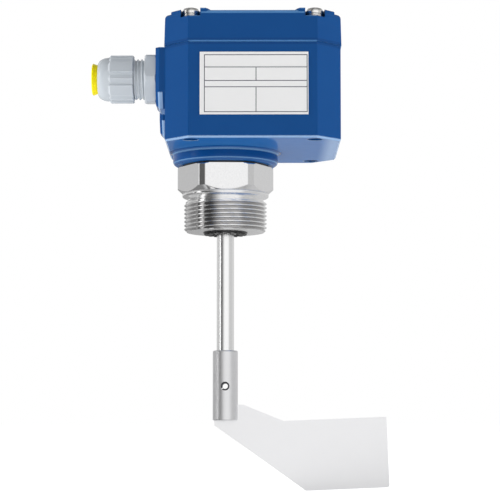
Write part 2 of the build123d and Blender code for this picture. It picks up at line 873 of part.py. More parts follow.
# Bearings: a plain bush above the seal and a ball bearing at the top of the spigot
with BuildPart() as lower_bush:
    ring = disc_points(
        bush_diameter / 2, bush_seat, bush_seat + bush_length, shaft_diameter / 2 + running_clearance
    )
    revolve(section(ring), axis=Axis.Z)
finish(lower_bush, "lower_bush")

ball_radius = bearing_ball_diameter / 2
ball_circle = (bearing_inner_ring_diameter + bearing_outer_ring_bore) / 4
ball_height = (bearing_bottom + bearing_top) / 2
with BuildPart() as bearing_outer_ring:
    ring = disc_points(
        bearing_outer_diameter / 2, bearing_bottom, bearing_top, bearing_outer_ring_bore / 2
    )
    revolve(section(ring), axis=Axis.Z)
    with BuildSketch(Plane.XZ):
        with Locations((ball_circle, ball_height)):
            Circle(ball_radius + running_clearance)
    revolve(axis=Axis.Z, mode=Mode.SUBTRACT)
finish(bearing_outer_ring, "bearing_outer_ring")

with BuildPart() as bearing_inner_ring:
    ring = disc_points(
        bearing_inner_ring_diameter / 2, bearing_bottom, bearing_top, shaft_diameter / 2
    )
    revolve(section(ring), axis=Axis.Z)
    with BuildSketch(Plane.XZ):
        with Locations((ball_circle, ball_height)):
            Circle(ball_radius + running_clearance)
    revolve(axis=Axis.Z, mode=Mode.SUBTRACT)
finish(bearing_inner_ring, "bearing_inner_ring")

with BuildPart() as bearing_balls:
    with BuildSketch(Plane.XZ) as half_disc:
        Circle(ball_radius)
        Rectangle(ball_radius, 2 * ball_radius, align=(Align.MAX, Align.CENTER), mode=Mode.SUBTRACT)
    ball = revolve(half_disc.sketch, axis=Axis.Z, mode=Mode.PRIVATE)
    with Locations(Plane.XY.offset(ball_height)):
        with PolarLocations(ball_circle, bearing_ball_count):
            add(ball)
finish(bearing_balls, "bearing_balls")

with BuildPart() as bearing_circlip:
    with BuildSketch(Plane.XY.offset(bearing_top)):
        Circle(circlip_groove)
        Circle(circlip_groove - circlip_height, mode=Mode.SUBTRACT)
        with Locations((-circlip_groove, 0)):
            Rectangle(3 * circlip_height, groove_radius, mode=Mode.SUBTRACT)
    extrude(amount=circlip_thickness)
finish(bearing_circlip, "bearing_circlip")


# Shaft seal, pressed into the end of the threaded stem
seal_low = -thread_end - seal_protrusion
with BuildPart() as shaft_seal:
    lip = shaft_diameter / 2 + running_clearance
    seal_ring = [
        (lip, seal_low + 2 * seal_protrusion),
        (lip + 1, seal_low + seal_protrusion),
        (seal_diameter / 2 - 3, seal_low + seal_protrusion),
        (seal_diameter / 2 - 2, seal_low),
        (seal_diameter / 2 - edge_break, seal_low),
        (seal_diameter / 2, seal_low + edge_break),
        (seal_diameter / 2, bush_seat),
        (lip, bush_seat),
    ]
    revolve(section(seal_ring), axis=Axis.Z)
finish(shaft_seal, "shaft_seal")


# Sleeve pinned on the shaft, slotted at its lower end for the vane
sleeve_end = -sleeve_start - sleeve_length
sleeve_radius = sleeve_diameter / 2
slot_left = sleeve_radius - 2 * edge_break
with BuildPart() as vane_sleeve:
    tube = [
        (0, sleeve_end),
        (sleeve_radius - edge_break, sleeve_end),
        (sleeve_radius, sleeve_end + edge_break),
        (sleeve_radius, -sleeve_start - edge_break),
        (sleeve_radius - edge_break, -sleeve_start),
        (shaft_diameter / 2, -sleeve_start),
        (shaft_diameter / 2, -shaft_end),
        (0, -shaft_end),
    ]
    revolve(section(tube), axis=Axis.Z)
    with BuildSketch(Plane.XZ.offset(-vane_thickness / 2)):
        with Locations((-slot_left, sleeve_end)):
            Rectangle(2 * sleeve_radius, vane_slot_height, align=(Align.MIN, Align.MIN))
    extrude(amount=vane_thickness, mode=Mode.SUBTRACT)
    with BuildSketch(Plane.XZ.offset(-sleeve_radius)):
        with Locations((0, -sleeve_start - pin_drop)):
            Circle(pin_diameter / 2)
    extrude(amount=2 * sleeve_radius, mode=Mode.SUBTRACT)
finish(vane_sleeve, "vane_sleeve")

# Slit spring pin, its ends bevelled
with BuildPart() as spring_pin:
    with BuildSketch(Plane.XZ.offset(-sleeve_radius)):
        with Locations((0, -sleeve_start - pin_drop)):
            Circle(pin_diameter / 2)
    extrude(amount=2 * sleeve_radius)
    chamfer(spring_pin.edges().filter_by(GeomType.CIRCLE), edge_break)
    with BuildSketch(Plane.XZ.offset(-sleeve_radius)):
        with Locations(Location((0, -sleeve_start - pin_drop), pin_slit_turn)):
            Circle(pin_bore_diameter / 2)
            Rectangle(pin_diameter, pin_slit, align=(Align.MIN, Align.CENTER))
    extrude(amount=2 * sleeve_radius, mode=Mode.SUBTRACT)
finish(spring_pin, "spring_pin")


# Vane: a flat sheet let into the sleeve's slot, its blade hanging a little down towards the tip
with BuildPart() as vane:
    slot_top = sleeve_end + vane_slot_height
    tilt = math.tan(math.radians(vane_tilt))
    tip_high = vane_reach - tilt * vane_blade_height
    tip_low = -vane_tip_drop - vane_blade_height
    outline_points = [
        (-slot_left, slot_top),
        (sleeve_radius + vane_shoulder, slot_top),
        (vane_neck_reach, -vane_tip_drop - tilt * (tip_high - vane_neck_reach)),
        (tip_high, -vane_tip_drop),
        (vane_reach, tip_low),
        (vane_heel_reach, tip_low - tilt * (vane_reach - vane_heel_reach)),
        (-slot_left, sleeve_end - vane_shoulder),
    ]
    with BuildSketch(Plane.XZ.offset(-vane_thickness / 2)) as sheet:
        with BuildLine():
            Polyline(*outline_points, close=True)
        make_face()
        fillet(sheet.vertices().group_by(Axis.X)[-1], vane_rounding)
    extrude(amount=vane_thickness)
finish(vane, "vane")


# Slip clutch: hub on the shaft, friction disc, and the flange on the motor's output shaft
with BuildPart() as clutch_hub:
    hub = [
        (shaft_diameter / 2, clutch_base),
        (clutch_diameter / 2 - 3, clutch_base),
        (clutch_diameter / 2 - 2, clutch_base + clutch_hub_height / 2),
        (clutch_diameter / 2, clutch_base + clutch_hub_height / 2),
        (clutch_diameter / 2, friction_base),
        (shaft_diameter / 2, friction_base),
    ]
    revolve(section(hub), axis=Axis.Z)
finish(clutch_hub, "clutch_hub")

with BuildPart() as friction_disc:
    ring = disc_points(
        clutch_diameter / 2 - edge_break, friction_base, drive_base, output_shaft_diameter / 2
    )
    revolve(section(ring), axis=Axis.Z)
finish(friction_disc, "friction_disc")

drive_top = drive_base + drive_flange_thickness
with BuildPart() as drive_flange:
    flange = [
        (output_shaft_diameter / 2, drive_base),
        (clutch_diameter / 2, drive_base),
        (clutch_diameter / 2, drive_top),
        (drive_sleeve_diameter / 2, drive_top),
        (drive_sleeve_diameter / 2, drive_top + drive_sleeve_height - edge_break),
        (drive_sleeve_diameter / 2 - edge_break, drive_top + drive_sleeve_height),
        (output_shaft_diameter / 2, drive_top + drive_sleeve_height),
    ]
    revolve(section(flange), axis=Axis.Z)
finish(drive_flange, "drive_flange")

output_top = swing_top + output_shaft_reach
with BuildPart() as output_shaft:
    spindle = disc_points(output_shaft_diameter / 2, friction_base, output_top)
    revolve(section(spindle), axis=Axis.Z)
    chamfer(output_shaft.edges().group_by(Axis.Z)[-1], edge_break)
finish(output_shaft, "output_shaft")


# Mechanism plate: carries the swinging motor, the switches and the spring's anchor
with BuildPart() as mechanism_plate:
    with BuildSketch(Plane.XY.offset(plate_base_z)):
        with Locations((-mechanism_plate_left, -mechanism_plate_front)):
            Rectangle(
                mechanism_plate_left + mechanism_plate_right,
                mechanism_plate_front + mechanism_plate_back,
                align=(Align.MIN, Align.MIN),
            )
        with Locations((anchor_left - 1, 0)):
            Rectangle(
                anchor_right - anchor_left + 1,
                spring_line_y + anchor_thickness,
                align=(Align.MIN, Align.MIN),
            )
        Circle(pivot_collar_diameter / 2, mode=Mode.SUBTRACT)
        with Locations(*plate_posts):
            Circle(m3 / 2 + running_clearance, mode=Mode.SUBTRACT)
        with Locations((-stop_pin_radius, 0)):
            Circle(stop_pin_diameter / 2, mode=Mode.SUBTRACT)
        with Locations((switch_face + switch_hole_setback, 0)):
            with GridLocations(0, switch_hole_spacing, 1, 2):
                Circle(m3 / 2, mode=Mode.SUBTRACT)
    extrude(amount=mechanism_plate_thickness)
finish(mechanism_plate, "mechanism_plate")

swing_bore = pivot_collar_diameter / 2 + running_clearance
collar_top = swing_top + gearbox_recess / 2
with BuildPart() as pivot_collar:
    collar_section = [
        (collar_bore / 2, plate_base_z - pivot_flange_thickness),
        (pivot_flange_diameter / 2, plate_base_z - pivot_flange_thickness),
        (pivot_flange_diameter / 2, plate_base_z),
        (pivot_collar_diameter / 2, plate_base_z),
        (pivot_collar_diameter / 2, collar_top - edge_break),
        (pivot_collar_diameter / 2 - edge_break, collar_top),
        (collar_bore / 2, collar_top),
    ]
    revolve(section(collar_section), axis=Axis.Z)
finish(pivot_collar, "pivot_collar")

with BuildPart() as thrust_washer:
    ring = disc_points(thrust_washer_diameter / 2, plate_top_z, swing_base - seat_clearance, swing_bore)
    revolve(section(ring), axis=Axis.Z)
finish(thrust_washer, "thrust_washer")

with BuildPart() as stop_pin:
    pin = disc_points(stop_pin_diameter / 2, plate_base_z, plate_base_z + stop_pin_height)
    revolve(section(pin), axis=Axis.Z)
    chamfer(stop_pin.edges().group_by(Axis.Z)[-1], edge_break)
    stop_pin.part.position = (-stop_pin_radius, 0, 0)
finish(stop_pin, "stop_pin")


def pan_screw(length):
    """A small pan-head screw standing on z = 0, its head above and its shank below."""
    with BuildPart() as screw:
        shape = [
            (0, -length),
            (m3 / 2, -length),
            (m3 / 2, 0),
            (m3_head_diameter / 2, 0),
            (m3_head_diameter / 2, m3_head_side),
            (m3_head_diameter / 2 - 2 * edge_break, m3_head_height),
            (0, m3_head_height),
        ]
        revolve(section(shape), axis=Axis.Z)
        with BuildSketch(Plane.XY.offset(m3_head_height)):
            Rectangle(m3_head_diameter, 2 * edge_break)
        extrude(amount=-m3_head_height / 2, mode=Mode.SUBTRACT)
    return screw.part


with BuildPart() as plate_screws:
    with Locations(Plane.XY.offset(plate_top_z)):
        with Locations(*plate_posts):
            add(pan_screw(2 * m3))
finish(plate_screws, "plate_screws")


# Swing plate: a disc with a stop notch, an ear for the spring and the holes of the motor's screws
pin_half_angle = math.degrees(
    math.asin((stop_pin_diameter / 2 + running_clearance) / stop_pin_radius)
)
notch_root = stop_pin_radius - stop_pin_diameter / 2 - 4 * running_clearance
with BuildPart() as swing_plate:
    with BuildSketch(Plane.XY.offset(swing_base)):
        Circle(swing_plate_radius)
        with BuildSketch(mode=Mode.ADD):
            with BuildLine():
                Polyline(
                    (peg_x - 2 * ear_radius, swing_plate_radius - 3),
                    (peg_x - ear_radius, spring_line_y),
                    (peg_x + ear_radius, spring_line_y),
                    (peg_x + 2 * ear_radius, swing_plate_radius - 3),
                    close=True,
                )
            make_face()
        with Locations((peg_x, spring_line_y)):
            Circle(ear_radius)
            Circle(peg_diameter / 2, mode=Mode.SUBTRACT)
        Circle(swing_bore, mode=Mode.SUBTRACT)
        with PolarLocations(motor_screw_radius, 4, start_angle=45):
            Circle(m3 / 2, mode=Mode.SUBTRACT)
    extrude(amount=swing_plate_thickness)
    # Notch that lets the stop pin pass through the swing's range
    with BuildSketch(Plane.XY.offset(swing_base)):
        notch_from = math.radians(180 - swing_range - pin_half_angle)
        notch_to = math.radians(180 + pin_half_angle)
        notch_middle = (notch_from + notch_to) / 2
        outer = swing_plate_radius + 4
        with BuildLine():
            Polyline(
                (notch_root * math.cos(notch_from), notch_root * math.sin(notch_from)),
                (outer * math.cos(notch_from), outer * math.sin(notch_from)),
                (outer * math.cos(notch_to), outer * math.sin(notch_to)),
                (notch_root * math.cos(notch_to), notch_root * math.sin(notch_to)),
            )
            ThreePointArc(
                (notch_root * math.cos(notch_to), notch_root * math.sin(notch_to)),
                (notch_root * math.cos(notch_middle), notch_root * math.sin(notch_middle)),
                (notch_root * math.cos(notch_from), notch_root * math.sin(notch_from)),
            )
        make_face()
    extrude(amount=swing_plate_thickness, mode=Mode.SUBTRACT)
finish(swing_plate, "swing_plate")

with BuildPart() as spring_peg:
    peg_radius = peg_diameter / 2
    peg_top = swing_base + swing_plate_thickness + peg_height
    peg_outline = [
        (0, swing_base),
        (peg_radius, swing_base),
        (peg_radius, spring_z - spring_wire),
        (peg_radius - peg_groove, spring_z - spring_wire / 2),
        (peg_radius - peg_groove, spring_z + spring_wire / 2),
        (peg_radius, spring_z + spring_wire),
        (peg_radius, peg_top),
        (0, peg_top),
    ]
    revolve(section(peg_outline), axis=Axis.Z)
    spring_peg.part.position = (peg_x, spring_line_y, 0)
finish(spring_peg, "spring_peg")


# Gear motor: gearbox with four ears under a round motor can
with BuildPart() as gearbox_case:
    with BuildSketch(Plane.XY.offset(swing_top)):
        Circle(gearbox_radius)
    extrude(amount=gearbox_height)
    fillet(gearbox_case.faces().sort_by(Axis.Z)[-1].edges(), 2 * edge_break)
    with BuildSketch(Plane.XY.offset(swing_top)):
        with PolarLocations(motor_screw_radius, 4, start_angle=45):
            Circle(motor_ear_radius)
    extrude(amount=motor_ear_height)
    with BuildSketch(Plane.XY.offset(swing_top)):
        Circle(pivot_collar_diameter / 2 + 2 * edge_break)
    extrude(amount=gearbox_recess, mode=Mode.SUBTRACT)
    with BuildSketch(Plane.XY.offset(swing_top)):
        Circle(output_shaft_diameter / 2 + running_clearance)
    extrude(amount=output_shaft_reach + edge_break, mode=Mode.SUBTRACT)
    head_space = m3_head_diameter / 2 + 4 * running_clearance
    with BuildSketch(Plane.XY.offset(swing_top + motor_ear_height)):
        with PolarLocations(motor_screw_radius, 4, start_angle=45):
            Circle(head_space)
    extrude(amount=gearbox_height, mode=Mode.SUBTRACT)
    with BuildSketch(Plane.XY.offset(swing_top)):
        with PolarLocations(motor_screw_radius, 4, start_angle=45):
            Circle(m3 / 2 + running_clearance)
    extrude(amount=motor_ear_height, mode=Mode.SUBTRACT)
finish(gearbox_case, "gearbox_case")

with BuildPart() as motor_can:
    can_top = gearbox_top + motor_can_height
    can = [
        (0, gearbox_top),
        (motor_can_radius, gearbox_top),
        (motor_can_radius, can_top - 2),
        (motor_can_radius - 2, can_top),
        (5, can_top),
        (5, can_top + 1),
        (0, can_top + 1),
    ]
    revolve(section(can), axis=Axis.Z)
finish(motor_can, "motor_can")

with BuildPart() as motor_screws:
    with Locations(Plane.XY.offset(swing_top + motor_ear_height)):
        with PolarLocations(motor_screw_radius, 4, start_angle=45):
            add(pan_screw(motor_ear_height + swing_plate_thickness))
finish(motor_screws, "motor_screws")


# Switch cam on the swing plate: the edge is a spiral that pushes both plungers in as the motor swings
cam_span = swing_range + cam_start + cam_margin
with BuildPart() as switch_cam:
    cam_top = switch_stack_top + edge_break
    with BuildSketch(Plane.XY.offset(swing_top)):
        spiral = []
        for step in range(5):
            angle = math.radians(cam_start - cam_span * step / 4)
            radius = cam_base_radius - cam_rise_per_radian * angle
            spiral.append((radius * math.cos(angle), radius * math.sin(angle)))
        first = math.radians(cam_start)
        last = math.radians(cam_start - cam_span)
        middle = (first + last) / 2
        inner_end = (cam_inner_radius * math.cos(last), cam_inner_radius * math.sin(last))
        inner_middle = (cam_inner_radius * math.cos(middle), cam_inner_radius * math.sin(middle))
        inner_start = (cam_inner_radius * math.cos(first), cam_inner_radius * math.sin(first))
        with BuildLine():
            Spline(*spiral)
            Line(spiral[-1], inner_end)
            ThreePointArc(inner_end, inner_middle, inner_start)
            Line(inner_start, spiral[0])
        make_face()
    extrude(amount=cam_top - swing_top)
finish(switch_cam, "switch_cam")


def switch_body(base):
    """One microswitch lying flat, its plunger hole facing the shaft."""
    with BuildPart() as body:
        with BuildSketch(Plane.XY.offset(base)):
            with Locations((switch_face, 0)):
                Rectangle(switch_depth, switch_length, align=(Align.MIN, Align.CENTER))
            with Locations((switch_face + switch_hole_setback, 0)):
                with GridLocations(0, switch_hole_spacing, 1, 2):
                    Circle(m3 / 2 + running_clearance, mode=Mode.SUBTRACT)
        extrude(amount=switch_thickness)
        chamfer(body.edges().filter_by(Axis.Z).group_by(Axis.X)[-1], 2 * edge_break)
        with BuildSketch(Plane.YZ.offset(switch_face)):
            with Locations((0, base + switch_thickness / 2)):
                Circle(plunger_diameter / 2 + running_clearance)
        extrude(amount=plunger_length, mode=Mode.SUBTRACT)
    return body


def plunger(base):
    """A round plunger with a domed tip that rests just clear of the cam's edge."""
    with BuildPart() as pin_shape:
        axis_z = base + switch_thickness / 2
        tip = cam_base_radius + running_clearance
        end = switch_face + plunger_length - plunger_stroke
        with BuildSketch(Plane(origin=(0, 0, axis_z), x_dir=(1, 0, 0), z_dir=(0, -1, 0))):
            with BuildLine():
                radius = plunger_diameter / 2
                Polyline((tip, 0), (end, 0), (end, radius), (tip + radius, radius))
                ThreePointArc(
                    (tip + radius, radius),
                    (tip + radius - radius * math.sqrt(0.5), radius * math.sqrt(0.5)),
                    (tip, 0),
                )
            make_face()
        revolve(axis=Axis((0, 0, axis_z), (1, 0, 0)))
    return pin_shape


signal_switch = switch_body(plate_top_z)
finish(signal_switch, "signal_switch")
motor_switch = switch_body(upper_switch_base)
finish(motor_switch, "motor_switch")
signal_plunger = plunger(plate_top_z)
finish(signal_plunger, "signal_plunger")
motor_plunger = plunger(upper_switch_base)
finish(motor_plunger, "motor_plunger")

with BuildPart() as switch_insulator:
    with BuildSketch(Plane.XY.offset(plate_top_z + switch_thickness)):
        with Locations((switch_face, 0)):
            Rectangle(switch_depth, switch_length, align=(Align.MIN, Align.CENTER))
        with Locations((switch_face + switch_hole_setback, 0)):
            with GridLocations(0, switch_hole_spacing, 1, 2):
                Circle(m3 / 2 + running_clearance, mode=Mode.SUBTRACT)
    extrude(amount=switch_gap)
finish(switch_insulator, "switch_insulator")

with BuildPart() as switch_terminals:
    for base in (plate_top_z, upper_switch_base):
        with BuildSketch(Plane.XY.offset(base + switch_thickness / 2)) as tabs:
            with Locations((switch_face + switch_depth, 0)):
                with GridLocations(0, switch_length / 3, 1, 3):
                    Rectangle(tab_length, tab_width, align=(Align.MIN, Align.CENTER))
            chamfer(tabs.vertices().group_by(Axis.X)[-1], 2 * edge_break)
            with Locations((switch_face + switch_depth + tab_length / 2 + edge_break, 0)):
                with GridLocations(0, switch_length / 3, 1, 3):
                    Circle(edge_break, mode=Mode.SUBTRACT)
        extrude(amount=tab_thickness)
finish(switch_terminals, "switch_terminals")

with BuildPart() as switch_screws:
    long_shank = switch_stack_top - plate_base_z
    with Locations(Plane.XY.offset(switch_stack_top)):
        with Locations((switch_face + switch_hole_setback, 0)):
            with GridLocations(0, switch_hole_spacing, 1, 2):
                add(pan_screw(long_shank))
finish(switch_screws, "switch_screws")


# Spring anchor: an upright tab with three holes that set how hard the vane must be held back
anchor_face = spring_line_y - anchor_thickness / 2
with BuildPart() as spring_anchor:
    with BuildSketch(Plane.XZ.offset(-anchor_face - anchor_thickness)) as tab_shape:
        with Locations((anchor_left, plate_top_z)):
            Rectangle(anchor_right - anchor_left, anchor_height, align=(Align.MIN, Align.MIN))
        fillet(tab_shape.vertices().group_by(Axis.Y)[-1], 4 * edge_break)
        for hole in range(3):
            with Locations((anchor_hole_x + hole * anchor_hole_pitch, spring_z)):
                Circle(anchor_hole_diameter / 2, mode=Mode.SUBTRACT)
    extrude(amount=anchor_thickness)
    with BuildSketch(Plane.XY.offset(plate_top_z)):
        with Locations((anchor_left, anchor_face + anchor_thickness)):
            Rectangle(anchor_right - anchor_left, anchor_foot, align=(Align.MIN, Align.MAX))
    extrude(amount=anchor_thickness)
finish(spring_anchor, "spring_anchor")

# Return spring: open coils between two loops, one round the peg and one through the anchor's hole
wire_radius = spring_wire / 2
peg_loop_x = peg_x + spring_mean_radius - wire_radius - (peg_diameter / 2 - peg_groove) - running_clearance
anchor_loop_x = (
    anchor_hole_x - anchor_hole_diameter / 2 + wire_radius + running_clearance - spring_mean_radius
)
coil_start = peg_loop_x + spring_mean_radius + spring_hook_length
coil_length = anchor_loop_x - spring_mean_radius - spring_hook_length - coil_start


with BuildPart() as spring_shape:
    # One wire: the coil, an easy bend at each end, and the loop that the bend leads into
    with BuildLine() as wire:
        coil = Helix(coil_length / spring_turns, coil_length, spring_mean_radius)
        for way, end, root in ((-1, 0, 0), (1, 1, coil_length)):
            loop_z = root + way * (spring_mean_radius + spring_hook_length)
            eighth = spring_mean_radius * math.sqrt(0.5)
            side = (spring_mean_radius, 0, loop_z)
            far_side = (-spring_mean_radius, 0, loop_z)
            Spline(coil @ end, side, tangents=((coil % end) * way, (0, 0, way)))
            ThreePointArc(side, (0, 0, loop_z + way * spring_mean_radius), far_side)
            ThreePointArc(
                far_side,
                (-eighth, 0, loop_z - way * eighth),
                (0, 0, loop_z - way * spring_mean_radius),
            )
    wire_path = wire.wires()[0]
    with BuildSketch(Plane(wire_path @ 0, z_dir=wire_path % 0)):
        Circle(wire_radius)
    sweep(path=wire_path)

with BuildPart() as return_spring:
    with Locations(Plane((coil_start, spring_line_y, spring_z), x_dir=(0, 1, 0), z_dir=(1, 0, 0))):
        add(spring_shape.part)
finish(return_spring, "return_spring")


# Circuit board on its own posts, with the terminals along the front
with BuildPart() as circuit_board:
    with BuildSketch(Plane.XY.offset(board_base)):
        with Locations((-board_left, -board_back)):
            Rectangle(board_left + board_right, board_step - board_back, align=(Align.MIN, Align.MAX))
        with Locations((-board_tongue_left, -board_step)):
            Rectangle(
                board_tongue_left + board_tongue_right,
                board_front - board_step,
                align=(Align.MIN, Align.MAX),
            )
        with Locations(*board_posts):
            Circle(m3 / 2 + running_clearance, mode=Mode.SUBTRACT)
    extrude(amount=board_thickness)
finish(circuit_board, "circuit_board")

with BuildPart() as board_screws:
    with Locations(Plane.XY.offset(board_top)):
        with Locations(*board_posts):
            add(pan_screw(2 * m3))
finish(board_screws, "board_screws")

terminal_width = terminal_pitch * terminal_count
terminal_middle = (board_tongue_right - board_tongue_left) / 2
with BuildPart() as terminal_block:
    back_y = -board_front + terminal_depth
    with BuildSketch(Plane.YZ.offset(terminal_middle - terminal_width / 2)):
        with BuildLine():
            Polyline(
                (-board_front, board_top),
                (back_y, board_top),
                (back_y, board_top + terminal_height - terminal_bevel),
                (back_y - terminal_bevel, board_top + terminal_height),
                (-board_front + terminal_bevel, board_top + terminal_height),
                (-board_front, board_top + terminal_face_height),
                close=True,
            )
        make_face()
    extrude(amount=terminal_width)
    screw_y = -board_front + terminal_depth / 2 + terminal_screw_offset
    with BuildSketch(Plane.XY.offset(board_top + terminal_height)):
        with Locations((terminal_middle, screw_y)):
            with GridLocations(terminal_pitch, 0, terminal_count, 1):
                Circle(terminal_screw_diameter / 2 + 4 * running_clearance)
    extrude(amount=-terminal_well_depth, mode=Mode.SUBTRACT)
    with BuildSketch(Plane.XZ.offset(board_front)):
        with Locations((terminal_middle, board_top + terminal_entry_height)):
            with GridLocations(terminal_pitch, 0, terminal_count, 1):
                Rectangle(terminal_entry, terminal_entry)
    extrude(amount=-terminal_entry_depth, mode=Mode.SUBTRACT)
finish(terminal_block, "terminal_block")

with BuildPart() as terminal_screws:
    well_floor = board_top + terminal_height - terminal_well_depth
    with BuildSketch(Plane.XY.offset(well_floor)):
        with Locations((terminal_middle, screw_y)):
            with GridLocations(terminal_pitch, 0, terminal_count, 1):
                Circle(terminal_screw_diameter / 2)
    extrude(amount=terminal_screw_height)
    with BuildSketch(Plane.XY.offset(well_floor + terminal_screw_height)):
        with Locations((terminal_middle, screw_y)):
            with GridLocations(terminal_pitch, 0, terminal_count, 1):
                Rectangle(terminal_screw_diameter, terminal_screw_slot)
    extrude(amount=-terminal_screw_height / 2, mode=Mode.SUBTRACT)
finish(terminal_screws, "terminal_screws")

with BuildPart() as relay:
    with BuildSketch(Plane.XY.offset(board_top)):
        with Locations((-board_left + relay_inset, -board_back - relay_setback)):
            Rectangle(relay_length, relay_depth, align=(Align.MIN, Align.MAX))
    extrude(amount=relay_height)
    chamfer(relay.faces().sort_by(Axis.Z)[-1].edges(), edge_break)
finish(relay, "relay")

with BuildPart() as capacitor:
    with BuildSketch(Plane.XY.offset(board_top)):
        with Locations((board_right - capacitor_inset, -board_back - capacitor_setback)):
            Rectangle(capacitor_length, capacitor_depth, align=(Align.MAX, Align.MAX))
    extrude(amount=capacitor_height)
    fillet(capacitor.edges().filter_by(Axis.Z), 1)
finish(capacitor, "capacitor")

# Earth screw in its own post beside the switches
with BuildPart() as earth_screw:
    earth_top = cavity_floor + earth_post_height
    post = [
        (0, earth_top - earth_shank),
        (earth_screw_diameter / 2, earth_top - earth_shank),
        (earth_screw_diameter / 2, earth_top),
        (earth_screw_diameter, earth_top),
        (earth_screw_diameter, earth_top + earth_head_side),
        (earth_screw_diameter - 2 * edge_break, earth_top + earth_head_height),
        (0, earth_top + earth_head_height),
    ]
    revolve(section(post), axis=Axis.Z)
    earth_screw.part.position = (earth_x, earth_y, 0)
finish(earth_screw, "earth_screw")
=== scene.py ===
import math

import bpy
from mathutils import Matrix, Vector


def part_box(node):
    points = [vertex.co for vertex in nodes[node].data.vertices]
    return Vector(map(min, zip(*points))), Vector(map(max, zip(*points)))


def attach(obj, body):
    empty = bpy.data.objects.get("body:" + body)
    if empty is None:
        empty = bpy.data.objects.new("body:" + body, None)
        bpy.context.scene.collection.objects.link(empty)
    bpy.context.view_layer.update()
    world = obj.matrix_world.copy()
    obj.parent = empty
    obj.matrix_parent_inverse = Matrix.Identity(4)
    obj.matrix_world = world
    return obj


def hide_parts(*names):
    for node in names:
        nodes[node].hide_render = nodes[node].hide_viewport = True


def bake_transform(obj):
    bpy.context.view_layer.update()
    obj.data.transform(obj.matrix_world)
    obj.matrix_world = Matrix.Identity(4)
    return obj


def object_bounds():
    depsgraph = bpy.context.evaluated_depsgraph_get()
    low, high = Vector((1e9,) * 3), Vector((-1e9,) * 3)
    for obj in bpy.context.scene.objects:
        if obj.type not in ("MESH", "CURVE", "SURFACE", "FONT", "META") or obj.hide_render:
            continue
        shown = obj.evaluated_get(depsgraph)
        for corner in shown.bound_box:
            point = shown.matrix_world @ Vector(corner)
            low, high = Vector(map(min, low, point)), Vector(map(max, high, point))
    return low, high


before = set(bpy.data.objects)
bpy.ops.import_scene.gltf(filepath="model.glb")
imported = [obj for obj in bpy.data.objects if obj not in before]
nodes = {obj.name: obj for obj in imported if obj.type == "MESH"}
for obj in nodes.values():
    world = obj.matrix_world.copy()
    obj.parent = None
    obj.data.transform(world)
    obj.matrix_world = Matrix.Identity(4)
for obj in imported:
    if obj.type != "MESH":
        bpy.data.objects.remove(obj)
cad_corners = [list(corner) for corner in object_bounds()]


# Camera: a long lens at the height of the vane's sleeve, looking up at the switch by about five degrees,
# as in the photograph.
def looking(place, target):
    """The turn that points a camera or a lamp from its place at a target."""
    return (Vector(target) - Vector(place)).to_track_quat("-Z", "Y").to_euler()


camera_place = (0.0192, -1.0089, -0.1267)
camera_target = (0.0142, 0.0, -0.04467)
camera_data = bpy.data.cameras.new("camera")
camera_data.lens = 126.25
camera_data.sensor_width = 36.0
camera_data.shift_y = 0.05
camera_data.clip_end = 20.0
camera = bpy.data.objects.new("camera", camera_data)
camera.location = camera_place
camera.rotation_euler = looking(camera_place, camera_target)
bpy.context.scene.collection.objects.link(camera)
bpy.context.scene.camera = camera
bpy.context.scene.view_settings.view_transform = "Standard"


# Studio: white walls and three large lamps, left, right and behind, with dark cards between them for
# the bare steel to mirror, over a pale floor that the vane's tip just clears.
class Reading:
    """One output of a shader node; arithmetic on it adds Math nodes."""

    def __init__(self, finish, link):
        self.finish = finish
        self.link = link

    def maths(self, operation, first, second):
        return self.finish.node("ShaderNodeMath", {"operation": operation}, {0: first, 1: second})

    def __add__(self, other):
        return self.maths("ADD", self, other)

    def __radd__(self, other):
        return self.maths("ADD", other, self)

    def __sub__(self, other):
        return self.maths("SUBTRACT", self, other)

    def __rsub__(self, other):
        return self.maths("SUBTRACT", other, self)

    def __mul__(self, other):
        return self.maths("MULTIPLY", self, other)

    def __rmul__(self, other):
        return self.maths("MULTIPLY", other, self)

    def __pow__(self, other):
        return self.maths("POWER", self, other)

    def __gt__(self, other):
        return self.maths("GREATER_THAN", self, other)

    def __lt__(self, other):
        return self.maths("LESS_THAN", self, other)

    def __abs__(self):
        return self.maths("ABSOLUTE", self, 0.0)


